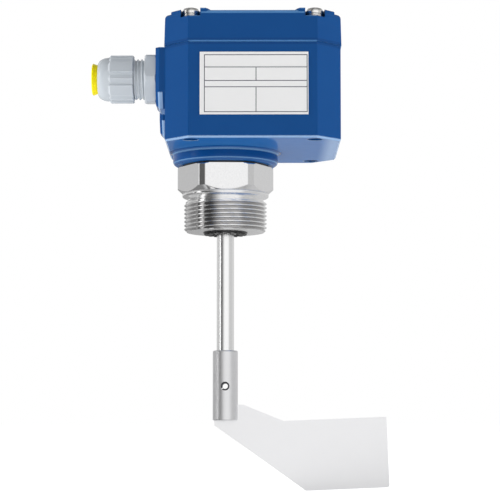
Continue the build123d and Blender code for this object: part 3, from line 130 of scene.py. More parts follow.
class Finish:
    """The nodes of one surface finish."""

    def __init__(self, name):
        self.material = bpy.data.materials.new(name)
        self.material.use_nodes = True
        self.tree = self.material.node_tree
        self.shader = self.tree.nodes["Principled BSDF"]

    def node(self, kind, settings=None, inputs=None, output=0):
        """One node: its settings first, then the values or links of its sockets."""
        made = self.tree.nodes.new(kind)
        for name, value in (settings or {}).items():
            setattr(made, name, value)
        for socket, value in (inputs or {}).items():
            self.plug(made.inputs[socket], value)
        return Reading(self, made.outputs[output])

    def plug(self, socket, value):
        """Link a reading to a socket, or set the socket to a value."""
        if isinstance(value, Reading):
            self.tree.links.new(value.link, socket)
        elif socket.type == "RGBA":
            socket.default_value = (*value, 1.0)
        else:
            socket.default_value = value

    def surface(self, **sockets):
        """Sockets of the shader by name, with _ for a space."""
        for name, value in sockets.items():
            self.plug(self.shader.inputs[name.replace("_", " ")], value)

    def spot(self):
        """Where a point lies on its piece, in metres."""
        return self.node("ShaderNodeTexCoord", output="Object")

    def parts(self, vector):
        """The x, y and z of a vector."""
        return [self.node("ShaderNodeSeparateXYZ", {}, {0: vector}, axis) for axis in "XYZ"]

    def ray(self, kind):
        """1 for rays of this kind."""
        return self.node("ShaderNodeLightPath", output=f"Is {kind} Ray")

    def blend(self, factor, first, second):
        """Two colours mixed by a factor, through the colour sockets of the Mix node."""
        return self.node("ShaderNodeMix", {"data_type": "RGBA"}, {0: factor, 6: first, 7: second}, 2)

    def step(self, value, at, soft):
        """0 below a value and 1 above it, with an edge this soft on each side."""
        limits = {"Value": value, "From Min": at - soft, "From Max": at + soft}
        return self.node("ShaderNodeMapRange", {"interpolation_type": "SMOOTHSTEP"}, limits)

    def band(self, value, start, end, rise=0.0002, fall=0.0002):
        """1 where a value lies from start to end, with a soft edge of its own width on each side."""
        return self.step(value, start, rise) - self.step(value, end, fall)


def cards(finish, direction, left_shade):
    """Light left between the dark cards round the switch, by direction seen from above in degrees."""
    east, north = finish.parts(direction)[:2]
    turn = finish.node("ShaderNodeMath", {"operation": "ARCTAN2"}, {0: east, 1: 0.0 - north})
    turn = turn * math.degrees(1.0)
    left_card = finish.band(turn, -66.0, -26.0, 2.0, 20.0) * 0.88
    thin_card = finish.band(turn, -90.0, -81.5, 2.0, 1.5) * 0.85
    light_strip = finish.band(turn, -77.5, -69.0, 1.5, 1.5) * 0.8
    left_wall = (1.0 - finish.step(turn, -93.0, 4.0)) * left_shade
    left_panel = finish.band(turn, -128.0, -97.0, 4.0, 3.0) * 0.14
    right_wall = finish.step(turn, 47.0, 9.0) * 0.33
    right_panel = finish.band(turn, 55.0, 106.0, 6.0, 6.0) * 0.08
    front = (1.0 + light_strip - left_card) * (1.0 - thin_card)
    return front * (1.0 - left_wall - left_panel) * (1.0 - right_wall - right_panel)


black = (0.0, 0.0, 0.0)
white = (1.0, 1.0, 1.0)
floor_finish = Finish("studio_floor")
floor_cards = cards(floor_finish, floor_finish.node("ShaderNodeNewGeometry", output="Position"), 0.60)
mirrored_floor = floor_finish.blend(floor_cards, black, (0.25, 0.25, 0.25))
mirrored_glow = floor_finish.blend(floor_cards, black, (0.97, 0.97, 0.97))
floor_glow = floor_finish.blend(floor_finish.ray("Glossy"), (0.73, 0.73, 0.74), mirrored_glow)
floor_finish.surface(
    Base_Color=floor_finish.blend(floor_finish.ray("Glossy"), (0.86, 0.86, 0.86), mirrored_floor),
    Roughness=0.9,
    Emission_Color=floor_finish.blend(floor_finish.ray("Camera"), floor_glow, white),
    Emission_Strength=0.73,
    Specular_IOR_Level=0.1,
)
floor_gap = 0.0005
floor_half = 8.0
floor_z = cad_corners[0][2] - floor_gap
floor_sides = ((-1, -1), (1, -1), (1, 1), (-1, 1))
floor_corners = [(floor_half * east, floor_half * north, floor_z) for east, north in floor_sides]
floor_mesh = bpy.data.meshes.new("studio_floor")
floor_mesh.from_pydata(floor_corners, [], [(0, 1, 2, 3)])
floor_mesh.materials.append(floor_finish.material)
studio_floor = bpy.data.objects.new("studio_floor", floor_mesh)
bpy.context.scene.collection.objects.link(studio_floor)

world = bpy.data.worlds.new("studio")
bpy.context.scene.world = world
world.use_nodes = True


class Room(Finish):
    """The light of the studio's walls, by direction."""

    def __init__(self):
        self.tree = world.node_tree
        self.shader = self.tree.nodes["Background"]


room = Room()
towards = room.node("ShaderNodeTexCoord", output="Generated")
ceiling = room.step(room.parts(towards)[2], 0.55, 0.22) * 0.62
walls = cards(room, towards, 0.29) * (1.0 - ceiling)
mirrored = room.node("ShaderNodeVectorMath", {"operation": "SCALE"}, {0: white, "Scale": walls})
light = room.blend(room.ray("Glossy"), (0.34, 0.34, 0.35), mirrored)
room.surface(Color=room.blend(room.ray("Camera"), light, white))

for lamp_name, lamp_place, lamp_power, lamp_size in [
    ("lamp_left", (-1.45, -0.5, 0.35), 14.0, 0.9),
    ("lamp_right", (1.4, -0.35, 0.35), 12.0, 0.8),
    ("lamp_back", (0.3, 1.2, 0.9), 4.0, 0.9),
]:
    lamp_data = bpy.data.lights.new(lamp_name, "AREA")
    lamp_data.energy = lamp_power
    lamp_data.size = lamp_size
    lamp = bpy.data.objects.new(lamp_name, lamp_data)
    lamp.location = lamp_place
    lamp.rotation_euler = looking(lamp_place, (0.0, 0.0, 0.0))
    lamp.visible_glossy = False
    bpy.context.scene.collection.objects.link(lamp)


# Housing body and lid: pressure die-cast aluminium, glass-beaded and powder coated in a glossy blue.
# The coat shows a fine orange peel and is softer under the body, where a fillet joins the boss to it.
# Painted highlights run along the casting's edges, and the underside is painted a paler blue
# for light from below.
mm = 0.001


def paint(finish, *names):
    """Put one finish on these pieces of the frame."""
    for name in names:
        mesh = nodes[name].data
        mesh.materials.clear()
        mesh.materials.append(finish.material)


def grain(finish, size, detail=2.0, stretch=(1.0, 1.0, 1.0)):
    """Cloudy noise fixed to the piece, with features of about this size in metres."""
    place = finish.node("ShaderNodeVectorMath", {"operation": "MULTIPLY"}, {0: finish.spot(), 1: stretch})
    return finish.node("ShaderNodeTexNoise", {}, {"Vector": place, "Scale": 1.0 / size, "Detail": detail})


def rounded_edges(finish, radius):
    """The surface's direction with its sharp edges broken by this radius in metres."""
    return finish.node("ShaderNodeBevel", {"samples": 6}, {"Radius": radius})


def relief(finish, height, depth, under=None):
    """Bump of this depth in metres, over the surface's own direction or another one."""
    inputs = {"Height": height, "Distance": depth}
    if under is not None:
        inputs["Normal"] = under
    return finish.node("ShaderNodeBump", {}, inputs)


def plain_rings(*profile):
    """Round rings of a turned piece, by radius and height in millimetres."""
    return [lambda angle, ring=ring: ring for ring in profile]


def even_angles(count):
    """Angles spaced evenly round a turned piece."""
    return [2 * math.pi * step / count for step in range(count)]


def turned(name, rings, angles, place=Matrix.Identity(4)):
    """A mesh of rings, each a radius and height in millimetres by angle; the last joins the first."""
    points = []
    for ring in rings:
        for angle in angles:
            radius, height = ring(angle)
            points.append(place @ Vector((radius * math.cos(angle), radius * math.sin(angle), height)))
    count = len(angles)
    faces = []
    for row in range(len(rings)):
        low = row * count
        high = (row + 1) % len(rings) * count
        for column in range(count):
            after = (column + 1) % count
            faces.append((low + column, low + after, high + after, high + column))
    mesh = bpy.data.meshes.new(name)
    mesh.from_pydata([point * mm for point in points], [], faces)
    mesh.shade_smooth()
    mesh.set_sharp_from_angle(angle=math.radians(32))
    made = bpy.data.objects.new(name, mesh)
    bpy.context.scene.collection.objects.link(made)
    return made


body_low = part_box("housing_body")[0]
body_middle = 0.0113
lid_joint = (0.0778, 0.0812)
boss_height, boss_radius, fillet_radius, buried = 7.5, 30.4, 2.0, 0.2
underside = body_low.z + boss_height * mm

blue_coat = Finish("blue_powder_coat")
peel = grain(blue_coat, 0.0011, 1.0)
waves = grain(blue_coat, 0.006)
tone = grain(blue_coat, 0.030, 3.0)
rounded = rounded_edges(blue_coat, 0.0009)
turned_x, turned_y, slope = blue_coat.parts(rounded)
spot_x, spot_y, spot_z = blue_coat.parts(blue_coat.spot())
reach = (spot_x * spot_x + spot_y * spot_y) ** 0.5

# Painted highlights along the body's lower edges, for light from below, apart from those round the boss and
# the rims of the entry pads.
on_body = spot_z > underside - 0.3 * mm
beside_boss = (1.0 - blue_coat.step(reach, 0.0335, 0.001)) * on_body
pad_rim = 1.0 - blue_coat.step(spot_x, body_low.x + 0.0014, 0.0002)
pad_rim = pad_rim + blue_coat.band(spot_x, body_low.x + 0.0040, body_low.x + 0.0056)
under_edge_highlights = blue_coat.band(slope, -0.90, -0.30, 0.04, 0.10) * (0.07 + on_body * 0.73)
under_edge_highlights = under_edge_highlights * (1.0 - beside_boss) * (1.0 - pad_rim)

# Painted highlights along the upper edges and the joint of the lid, strongest along the straight sides, and
# along the boss's lower edge; painted shade in a band round the lid's joint.
on_side = 1.0 - blue_coat.step(abs(turned_x * turned_y), 0.06, 0.05)
upper_edge_highlights = blue_coat.band(slope, 0.25, 0.95, 0.10, 0.03) * (0.05 + on_side * 0.65)
# Painted shade: a darker blue in this band round the lid's joint.
at_lid = blue_coat.band(spot_z, *lid_joint)
parting_line_highlight = blue_coat.band(abs(slope), 0.15, 1.0, 0.10, 0.02) * at_lid * on_side * 0.85
boss_edge_highlight = blue_coat.band(slope, -0.58, -0.40, 0.06, 0.06) * (1.0 - on_body) * 0.35

# The level underside, painted a paler blue for light from below and with painted reflections at its cut
# ends, and the fillet in it.
level_below = slope < -0.96
end_reflection = level_below * blue_coat.step(abs(spot_x - body_middle), 0.0455, 0.004) * 0.50
in_fillet = blue_coat.band(reach, (boss_radius - buried) * mm, (boss_radius + fillet_radius + buried) * mm)
in_fillet = in_fillet * (spot_z > underside - (fillet_radius + 0.1) * mm)

# Painted light and shade laid over the coat's own tone, mask by mask.
blue = blue_coat.blend(tone, (0.0016, 0.0560, 0.2150), (0.0034, 0.0650, 0.2350))
for mask, shade in [
    (level_below, (0.0060, 0.1250, 0.4000)),
    (end_reflection, (0.450, 0.600, 0.800)),
    (under_edge_highlights, (0.330, 0.500, 0.740)),
    (at_lid, (0.0020, 0.0500, 0.1900)),
    (parting_line_highlight, (0.120, 0.340, 0.700)),
    (boss_edge_highlight, (0.330, 0.600, 0.840)),
    (upper_edge_highlights, (0.130, 0.330, 0.640)),
]:
    blue = blue_coat.blend(mask, blue, shade)
blue_coat.surface(
    Base_Color=blue,
    Roughness=0.16 + waves * 0.08 + level_below * 0.40,
    Normal=relief(blue_coat, peel * 0.6 + waves * 1.2, 0.00004, under=rounded),
    Specular_IOR_Level=0.14,
    Coat_Weight=level_below * (1.0 - in_fillet) * 0.42 + in_fillet * 0.10,
    Coat_Roughness=0.05,
)
paint(blue_coat, "housing_body", "lid")

fillet_top = underside / mm
fillet_inside = boss_radius - buried
fillet_steps = 12
fillet_rings = plain_rings((fillet_inside, fillet_top + buried), (fillet_inside, fillet_top - fillet_radius))
for step in range(fillet_steps + 1):
    bend = math.pi / 2 * step / fillet_steps
    across = boss_radius + fillet_radius * (1.0 - math.cos(bend))
    fillet_rings += plain_rings((across, fillet_top - fillet_radius * (1.0 - math.sin(bend))))
fillet_rings += plain_rings((boss_radius + fillet_radius, fillet_top + buried))
boss_fillet = turned("boss_fillet", fillet_rings, even_angles(144))
boss_fillet.data.materials.append(blue_coat.material)
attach(boss_fillet, "housing")


# Flat gaskets: a closed-cell rubber sheet between lid and body, and a fibre-rubber ring between the
# hexagon and the boss.
def mottled(name, dark, light, size, rough, rougher, detail=2.0, stretch=(1.0, 1.0, 1.0), depth=0.0, **more):
    """A finish whose colour, roughness and relief all follow one cloudy noise."""
    finish = Finish(name)
    cloud = grain(finish, size, detail, stretch)
    finish.surface(Base_Color=finish.blend(cloud, dark, light), Roughness=rough + cloud * rougher, **more)
    if depth:
        finish.surface(Normal=relief(finish, cloud, depth))
    return finish


gasket_sheet = mottled(
    "gasket_sheet", (0.018, 0.018, 0.019), (0.050, 0.050, 0.052),
    size=0.0006, rough=0.70, rougher=0.15, depth=0.00005,
)
paint(gasket_sheet, "lid_gasket", "connection_gasket")


# Lid screws: stainless pan heads with a combined cross and slot, each on a spring washer and a plain
# washer, held captive in the lid.
bright_steel = Finish("stainless_screws")
scuff = grain(bright_steel, 0.0009, 3.0)
bright_steel.surface(
    Base_Color=bright_steel.blend(scuff, (0.88, 0.87, 0.85), (0.96, 0.95, 0.93)),
    Metallic=1.0,
    Roughness=0.14 + scuff * 0.10,
    Normal=relief(bright_steel, scuff, 0.00002, under=rounded_edges(bright_steel, 0.0012)),
)
paint(bright_steel, "lid_screws", "lid_washers", "lid_spring_washers")


# Rating plate: thin anodised aluminium, bonded to the front of the body, with the frame and ruled
# table of a blank form printed on it.
plate_sheet = Finish("rating_plate")
brush = grain(plate_sheet, 0.0004, 2.0, (0.06, 1.0, 1.0))
spot_x, spot_y, spot_z = plate_sheet.parts(plate_sheet.spot())
plate_low, plate_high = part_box("rating_plate")
form_left, form_right = plate_low.x + 0.0026, plate_high.x - 0.0007
form_low, form_top = plate_low.z + 0.0014, plate_high.z - 0.0017
form_split = plate_low.x + 0.0309
form_rows = (form_low, form_top - 0.0178, form_top - 0.0143, form_top - 0.0068)
line_half = 0.00022


def ruled(along, across, at, start, end):
    """A printed line at one value of across, from start to end along it."""
    beside = abs(across - at) < line_half
    within = abs(along - (start + end) / 2) < (end - start) / 2 + line_half
    return beside * within


printed = ruled(spot_x, spot_z, form_top, form_left, form_right)
for height in form_rows:
    printed = printed + ruled(spot_x, spot_z, height, form_left, form_right)
for side in (form_left, form_right):
    printed = printed + ruled(spot_z, spot_x, side, form_low, form_top)
for start, end in (form_rows[2:], form_rows[:2]):
    printed = printed + ruled(spot_z, spot_x, form_split, start, end)
printed = printed > 0.5
bare = plate_sheet.blend(brush, (0.86, 0.86, 0.855), (0.90, 0.90, 0.895))
plate_sheet.surface(
    Base_Color=plate_sheet.blend(printed, bare, (0.035, 0.040, 0.060)),
    Metallic=0.35 - printed * 0.35,
    Roughness=0.42 + brush * 0.12,
    Normal=relief(plate_sheet, brush, 0.00001),
)
paint(plate_sheet, "rating_plate")


# Process connection: one turned stainless piece, with a hexagon for the spanner, a collar, an undercut
# and a parallel pipe thread of 2.309 mm pitch, bored for the seal, the bush and the bearing.
def thread_ridge(turns):
    """Height of a rounded 55 degree thread, 0 at the root and 1 at the crest, by turns of the helix."""
    rise = 1.0 - abs(2.0 * (turns % 1.0) - 1.0)
    rise = min(max((rise - 0.12) / 0.76, 0.0), 1.0)
    return 0.35 * rise + 0.65 * rise * rise * (3.0 - 2.0 * rise)


def spaced(start, end, count):
    """Values from start to end, evenly spaced, with both ends."""
    return [start + (end - start) * step / (count - 1) for step in range(count)]


class Hexagon:
    """A hexagon with its corners cut round: half its width, its corners' radius and one side's angle."""

    def __init__(self, half_width, corner, first_side):
        self.half_width = half_width
        self.corner = corner
        self.first_side = first_side

    def radius(self, angle):
        """Distance from the axis to the hexagon's side, or to its cut corner, at this angle."""
        from_middle = (angle - self.first_side + math.pi / 6) % (math.pi / 3) - math.pi / 6
        return min(self.half_width / math.cos(from_middle), self.corner)

    def angles(self, side_steps, corner_steps):
        """Angles round the hexagon, with each side and each cut corner in even steps."""
        side_half = math.acos(self.half_width / self.corner)
        made = []
        for side in range(6):
            middle = self.first_side + side * math.pi / 3
            for step in range(side_steps):
                made.append(middle - side_half + 2 * side_half * step / side_steps)
            for step in range(corner_steps):
                made.append(middle + side_half + (math.pi / 3 - 2 * side_half) * step / corner_steps)
        return made


spanner_hexagon = Hexagon(25.0, 27.71, math.radians(2.0) - math.pi / 2)
hexagon_low, hexagon_top = 2.0, 17.4
lower_cone, lower_slope = 24.67, math.tan(math.radians(48))
upper_cone, upper_slope = 27.0, 2.0
crest, pitch, ridge = 23.9, 2.309, 1.479
thread_end, thread_top, thread_phase = -20.0, -1.9, 0.02
thread_chamfer, run_out_slope = 1.5, 1.2
undercut, undercut_edge, thread_last = 21.8, 21.9, -2.0
spigot_radius, spigot_top = 16.0, 41.0
bearing_seat, bearing_floor = 13.0, 31.4
circlip_groove, circlip_top, circlip_low = 13.5, 40.4, 39.4
bush_seat, bush_floor, shaft_hole = 9.0, 27.4, 7.0
seal_seat, seal_floor, seal_recess, recess_floor = 12.8, -14.0, 8.0, -2.0


def threaded(height):
    """A ring of the threaded end at this height."""

    def ring(angle):
        turns = height / pitch - angle / (2 * math.pi) + thread_phase
        radius = crest - ridge + ridge * thread_ridge(turns)
        chamfer = crest - thread_chamfer + (height - thread_end)
        run_out = undercut_edge + (thread_top - height) * run_out_slope
        return max(min(radius, chamfer, run_out), undercut), height

    return ring


def hexagon(height):
    """A ring of the hexagon, its corners turned down by a cone at each end."""

    def ring(angle):
        below = lower_cone + (height - hexagon_low) * lower_slope
        above = upper_cone + (hexagon_top - height) * upper_slope
        return min(spanner_hexagon.radius(angle), below, above), height

    return ring


connection_rings = plain_rings((seal_seat, thread_end), (undercut_edge, thread_end))
connection_rings += [threaded(height) for height in spaced(thread_end, thread_last, 151)]
connection_rings += plain_rings((undercut, -1.8), (undercut_edge, -1.3), (22.5, -0.8), (23.6, -0.2))
connection_rings += plain_rings((24.5, 0.1), (24.9, 0.5), (25.0, 0.9), (25.0, 1.85), (24.6, hexagon_low))
connection_rings += [hexagon(height) for height in spaced(hexagon_low, 5.15, 22)]
connection_rings += [hexagon(height) for height in spaced(5.5, 16.0, 22)]
connection_rings += [hexagon(height) for height in (16.5, 16.9, 17.1, hexagon_top)]
connection_rings += plain_rings(
    (spigot_radius, hexagon_top),
    (spigot_radius, spigot_top - 0.5),
    (spigot_radius - 0.5, spigot_top),
    (bearing_seat, spigot_top),
    (bearing_seat, circlip_top),
    (circlip_groove, circlip_top),
    (circlip_groove, circlip_low),
    (bearing_seat, circlip_low),
    (bearing_seat, bearing_floor),
    (bush_seat, bearing_floor),
    (bush_seat, bush_floor),
    (shaft_hole, bush_floor),
    (shaft_hole, recess_floor),
    (seal_recess, recess_floor),
    (seal_recess, seal_floor),
    (seal_seat, seal_floor),
)
connection = turned("threaded_connection", connection_rings, spanner_hexagon.angles(48, 8))

turned_steel = Finish("turned_stainless")
lines = grain(turned_steel, 0.00035, 2.0, (0.02, 0.02, 1.0))
cloud = grain(turned_steel, 0.009, 3.0)
mottle = grain(turned_steel, 0.0008)
spot_x, spot_y, spot_z = turned_steel.parts(turned_steel.spot())
reach = (spot_x * spot_x + spot_y * spot_y) ** 0.5
# Painted shade darkens the roots of the thread.
thread_root_shade = turned_steel.band(reach, 0.0215, 0.0231, 0.0002, 0.0008) * (spot_z > (thread_end + 0.15) * mm)
thread_root_shade = thread_root_shade * (1.0 - turned_steel.step(spot_z, -0.0042, 0.0008))
end_face = spot_z < (thread_end + 0.05) * mm
under_collar = turned_steel.band(spot_z, -0.0016, 0.0008)
broken_edge = turned_steel.band(spot_z, 0.0014, 0.0022, 0.0002, 0.0001)
on_flats = spot_z > (hexagon_low + 0.2) * mm
steel = turned_steel.blend(cloud, (0.92, 0.92, 0.92), (0.95, 0.95, 0.95))
flats = turned_steel.blend(mottle, (0.80, 0.80, 0.81), (0.92, 0.92, 0.92))
steel = turned_steel.blend(on_flats, steel, flats)
matt = end_face * 0.35 + broken_edge * 0.4 + under_collar * 0.15
turned_steel.surface(
    Base_Color=turned_steel.blend(thread_root_shade * 0.53, steel, (0.10, 0.09, 0.09)),
    Metallic=1.0,
    Roughness=0.05 + lines * 0.04 + cloud * 0.02 + matt,
    Normal=relief(turned_steel, lines, 0.000003),
)
connection.data.materials.append(turned_steel.material)
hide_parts("process_connection")
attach(connection, "housing")


# Shaft seal: a black rubber lip seal pressed into the end of the connection, with moulded ribs round
# its face.
rib_count = 18
seal_outside, seal_back = 12.78, -14.2
lip_radius = 5.06


def ribbed(radius, low, high):
    """A ring of the seal's face, lower on each of its ribs."""

    def ring(angle):
        wave = 0.5 + 0.5 * math.cos(rib_count * angle)
        rib = min(1.0, max(0.0, (wave - 0.45) * 5.0))
        return radius, high + (low - high) * rib

    return ring


seal_rings = plain_rings((seal_outside, seal_back), (seal_outside, -20.5), (12.5, -20.9))
seal_rings += [ribbed(12.2, -21.65, -21.2), ribbed(10.2, -21.68, -21.0), ribbed(8.4, -21.5, -20.9)]
seal_rings += plain_rings((7.6, -20.8), (6.6, -20.9), (5.3, -21.4), (lip_radius, -21.2))
seal_rings += plain_rings((lip_radius, seal_back))
seal = turned("ribbed_shaft_seal", seal_rings, even_angles(288))
black_rubber = mottled(
    "black_rubber", (0.003, 0.003, 0.003), (0.008, 0.008, 0.009),
    size=0.0007, rough=0.09, rougher=0.08, depth=0.00002,
)
seal.data.materials.append(black_rubber.material)
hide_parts("shaft_seal")
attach(seal, "housing")


# Shaft and vane: a ground stainless shaft, a turned sleeve over its end, fixed by a rolled spring pin,
# and a laser-cut sheet vane in the sleeve's slot.
ground_steel = mottled(
    "ground_stainless", (0.96, 0.96, 0.96), (0.99, 0.99, 0.99),
    size=0.00025, rough=0.20, rougher=0.06, stretch=(0.03, 0.03, 1.0), depth=0.000005, Metallic=1.0,
)
paint(ground_steel, "shaft")

satin_steel = mottled(
    "satin_stainless", (0.83, 0.83, 0.84), (0.89, 0.89, 0.90),
    size=0.0003, rough=0.36, rougher=0.08, detail=3.0, stretch=(0.02, 0.02, 1.0), depth=0.00001, Metallic=1.0,
)
paint(satin_steel, "vane_sleeve")

sheet_steel = Finish("sheet_stainless")
rolled = grain(sheet_steel, 0.00040, 3.0, (0.05, 1.0, 1.0))
blotch = grain(sheet_steel, 0.012, 3.0)
sheet_steel.surface(
    Base_Color=sheet_steel.blend(blotch, (0.94, 0.94, 0.95), (0.96, 0.96, 0.97)),
    Metallic=1.0,
    Roughness=0.32 + rolled * 0.08,
    Normal=relief(sheet_steel, rolled, 0.000012),
)
paint(sheet_steel, "vane")


# Cable gland: a moulded grey polyamide body with a hexagon and a coarse thread for the dome nut, a
# rubber seal inside it and a yellow dust plug in its mouth.
entry_y, entry_z = -29.0, 63.9
gland_place = Matrix(((0, 0, -1, 0), (1, 0, 0, entry_y), (0, -1, 0, entry_z), (0, 0, 0, 1)))
entry_hexagon = Hexagon(13.5, 15.08, math.pi / 6 - math.radians(7.0))
entry_low, entry_top, chamfer_slope = 38.3, 44.9, 1.6
nut_thread_low, nut_thread_top, gland_end = 45.3, 60.3, 60.5
nut_pitch, nut_ridge = 2.2, 0.88
gland_neck, gland_hole, gland_mouth, mouth_floor = 10.6, 6.5, 9.5, 51.8
outer_cone, inner_cone = 13.6, 14.2
nut_thread_root, thread_tip, tip_start = 10.4, 11.5, 59.4


def gland_hexagon(height):
    """A ring of the gland's hexagon, with its corners chamfered at both ends."""

    def ring(angle):
        above = outer_cone + (entry_top - height) * chamfer_slope
        below = inner_cone + (height - entry_low) * chamfer_slope
        return min(entry_hexagon.radius(angle), above, below), height

    return ring


def gland_thread(height):
    """A ring of the gland's outer thread."""

    def ring(angle):
        radius = gland_neck + nut_ridge * thread_ridge(height / nut_pitch - angle / (2 * math.pi))
        chamfer = thread_tip - max(0.0, height - tip_start)
        return max(min(radius, chamfer), nut_thread_root), height

    return ring


gland_rings = plain_rings((gland_hole, entry_low), (13.4, entry_low))
gland_rings += [gland_hexagon(height) for height in spaced(entry_low, 39.35, 8)]
gland_rings += [gland_hexagon(height) for height in spaced(40.0, 43.0, 7)]
gland_rings += [gland_hexagon(height) for height in spaced(43.6, entry_top, 11)]
gland_rings += plain_rings((gland_neck, entry_top), (gland_neck, nut_thread_low))
gland_rings += [gland_thread(height) for height in spaced(nut_thread_low, nut_thread_top, 121)]
gland_rings += plain_rings((10.2, gland_end), (gland_mouth, gland_end), (gland_mouth, mouth_floor))
gland_rings += plain_rings((gland_hole, mouth_floor - 0.2))
gland = turned("threaded_gland_body", gland_rings, entry_hexagon.angles(36, 6), gland_place)

grey_plastic = Finish("grey_polyamide")
mould_grey = grain(grey_plastic, 0.0010)
crisp = grey_plastic.node("ShaderNodeNewGeometry", output="Normal")
softened = rounded_edges(grey_plastic, 0.0006)
both = {0: crisp, 1: softened}
agree = grey_plastic.node("ShaderNodeVectorMath", {"operation": "DOT_PRODUCT"}, both, "Value")
# Painted highlights lighten the grey along the moulding's edges.
moulding_highlight = grey_plastic.band(1.0 - agree, 0.012, 1.0, 0.010, 0.1) * 0.55
grey = grey_plastic.blend(mould_grey, (0.54, 0.585, 0.620), (0.57, 0.615, 0.650))
grey_plastic.surface(
    Base_Color=grey_plastic.blend(moulding_highlight, grey, (0.74, 0.77, 0.80)),
    Roughness=0.20 + mould_grey * 0.06,
    Specular_IOR_Level=0.75,
    Normal=relief(grey_plastic, mould_grey, 0.00002),
)
gland.data.materials.append(grey_plastic.material)
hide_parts("gland_body")
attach(gland, "housing")
paint(grey_plastic, "dome_nut")
paint(black_rubber, "gland_seal")

yellow_plug = mottled(
    "yellow_soft_plastic", (0.97, 0.82, 0.002), (0.99, 0.84, 0.003),
    size=0.0012, rough=0.40, rougher=0.04, Specular_IOR_Level=0.2,
)
paint(yellow_plug, "dust_plug")


# Blanking plug of the second cable entry: moulded in blue plastic with a socket for a hexagon key, and
# screwed in against the entry pad.
blue_plastic = mottled(
    "blue_plastic", (0.010, 0.080, 0.270), (0.014, 0.095, 0.300),
    size=0.0012, rough=0.36, rougher=0.12, depth=0.00003,
)
paint(blue_plastic, "blanking_plug")


# Bearing group in the spigot: bronze bush, ball bearing between circlips, and the slotted ring nut
# that clamps the connection in the floor.
bearing_steel = mottled(
    "bearing_steel", (0.58, 0.58, 0.57), (0.68, 0.68, 0.67),
    size=0.0008, rough=0.12, rougher=0.08, Metallic=1.0,
)
paint(bearing_steel, "bearing_outer_ring", "bearing_inner_ring", "bearing_balls")

spring_steel = mottled(
    "black_spring_steel", (0.05, 0.05, 0.06), (0.12, 0.12, 0.13),
    size=0.0020, rough=0.32, rougher=0.15, Metallic=0.8,
)
paint(spring_steel, "bearing_circlip", "shaft_circlips", "spring_pin")

bronze = mottled(
    "sintered_bronze", (0.42, 0.22, 0.08), (0.62, 0.36, 0.15),
    size=0.0003, rough=0.35, rougher=0.20, detail=3.0, depth=0.00003, Metallic=1.0,
)
paint(bronze, "lower_bush", "thrust_washer")

zinc_steel = Finish("zinc_plated_steel")
spangle = grain(zinc_steel, 0.004, 3.0)
rub = grain(zinc_steel, 0.0004, 3.0, (0.08, 1.0, 1.0))
zinc_steel.surface(
    Base_Color=zinc_steel.blend(spangle, (0.50, 0.52, 0.54), (0.68, 0.69, 0.70)),
    Metallic=1.0,
    Roughness=0.28 + spangle * 0.12 + rub * 0.08,
    Normal=relief(zinc_steel, rub, 0.00001),
)
paint(zinc_steel, "connection_ring_nut", "mechanism_plate", "plate_screws", "pivot_collar", "stop_pin")


# Slip clutch between the gear motor and the shaft: steel hub and flange with a fibre disc between
# them, on the gearbox's output shaft.
paint(zinc_steel, "clutch_hub", "drive_flange", "output_shaft")
fibre = mottled(
    "friction_fibre", (0.14, 0.07, 0.04), (0.26, 0.15, 0.09),
    size=0.0005, rough=0.75, rougher=0.15, detail=4.0, depth=0.00006,
)
paint(fibre, "friction_disc")


# Gear motor: a swing plate on the pivot collar, a pressed gearbox case and a deep-drawn motor can,
# held together by four screws; the switch cam is moulded round its base.
paint(zinc_steel, "swing_plate", "spring_peg", "motor_screws")
can_steel = mottled(
    "drawn_can", (0.56, 0.56, 0.54), (0.68, 0.68, 0.66),
    size=0.0005, rough=0.26, rougher=0.14, detail=3.0, stretch=(1.0, 1.0, 0.04), depth=0.00001, Metallic=1.0,
)
paint(can_steel, "motor_can", "gearbox_case")
white_plastic = mottled(
    "natural_acetal", (0.72, 0.71, 0.66), (0.82, 0.81, 0.77), size=0.0015, rough=0.38, rougher=0.10,
    Subsurface_Weight=0.2, Subsurface_Radius=(0.002, 0.002, 0.0015), Subsurface_Scale=1.0,
)
paint(white_plastic, "switch_cam")


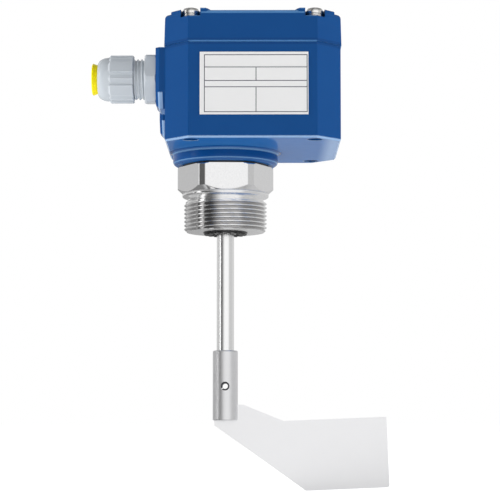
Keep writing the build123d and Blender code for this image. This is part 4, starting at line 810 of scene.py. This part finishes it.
# Two stacked microswitches beside the motor, for the signal and for the motor, with an insulating
# sheet between them, silvered tabs and long screws through both.
black_plastic = mottled(
    "black_phenolic", (0.014, 0.014, 0.015), (0.030, 0.030, 0.032),
    size=0.0006, rough=0.40, rougher=0.18, detail=3.0, depth=0.00003,
)
paint(black_plastic, "signal_switch", "motor_switch")
red_plastic = mottled(
    "red_plunger_plastic", (0.50, 0.020, 0.012), (0.60, 0.030, 0.018),
    size=0.0006, rough=0.32, rougher=0.12,
)
paint(red_plastic, "signal_plunger", "motor_plunger")
paint(fibre, "switch_insulator")
paint(zinc_steel, "switch_screws", "spring_anchor")
brass = mottled(
    "silvered_brass", (0.62, 0.48, 0.22), (0.78, 0.66, 0.38),
    size=0.0020, rough=0.24, rougher=0.16, detail=3.0, Metallic=1.0,
)
paint(brass, "switch_terminals")


# Return spring: a close-wound extension spring of spring steel, from the peg on the swing plate to
# the anchor on the fixed plate, so that it stretches as the motor swings.
coil = bpy.data.objects.new("coiled_return_spring", nodes["return_spring"].data.copy())
bpy.context.scene.collection.objects.link(coil)
wire_steel = mottled(
    "spring_wire", (0.46, 0.46, 0.47), (0.60, 0.60, 0.61),
    size=0.0004, rough=0.22, rougher=0.14, Metallic=1.0,
)
coil.data.materials.clear()
coil.data.materials.append(wire_steel.material)
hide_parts("return_spring")
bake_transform(coil)


# Circuit board on four posts: glass-epoxy with green solder resist, a relay, a film capacitor and a
# row of wire terminals along its front. The earth screw in the housing is of silvered brass.
green_board = Finish("green_solder_resist")
weave = grain(green_board, 0.0006)
track = green_board.node("ShaderNodeTexBrick", {}, {
    "Vector": green_board.spot(),
    "Color1": (0.010, 0.115, 0.040),
    "Color2": (0.014, 0.135, 0.048),
    "Mortar": (0.030, 0.210, 0.075),
    "Scale": 120.0,
    "Mortar Size": 0.06,
    "Brick Width": 1.6,
    "Row Height": 0.35,
})
green_board.surface(
    Base_Color=track,
    Roughness=0.30 + weave * 0.12,
    Normal=relief(green_board, weave, 0.00002),
    Coat_Weight=0.2,
)
paint(green_board, "circuit_board")
paint(zinc_steel, "board_screws", "terminal_screws")
green_plastic = mottled(
    "green_terminal_plastic", (0.025, 0.26, 0.060), (0.035, 0.31, 0.080),
    size=0.0010, rough=0.38, rougher=0.12,
)
paint(green_plastic, "terminal_block")
relay_plastic = mottled(
    "clear_blue_relay_case", (0.020, 0.075, 0.200), (0.030, 0.095, 0.240),
    size=0.0015, rough=0.18, rougher=0.08, Coat_Weight=0.4,
)
paint(relay_plastic, "relay")
capacitor_plastic = mottled(
    "capacitor_case", (0.62, 0.46, 0.02), (0.70, 0.53, 0.04),
    size=0.0010, rough=0.36, rougher=0.14,
)
paint(capacitor_plastic, "capacitor")
paint(brass, "earth_screw")
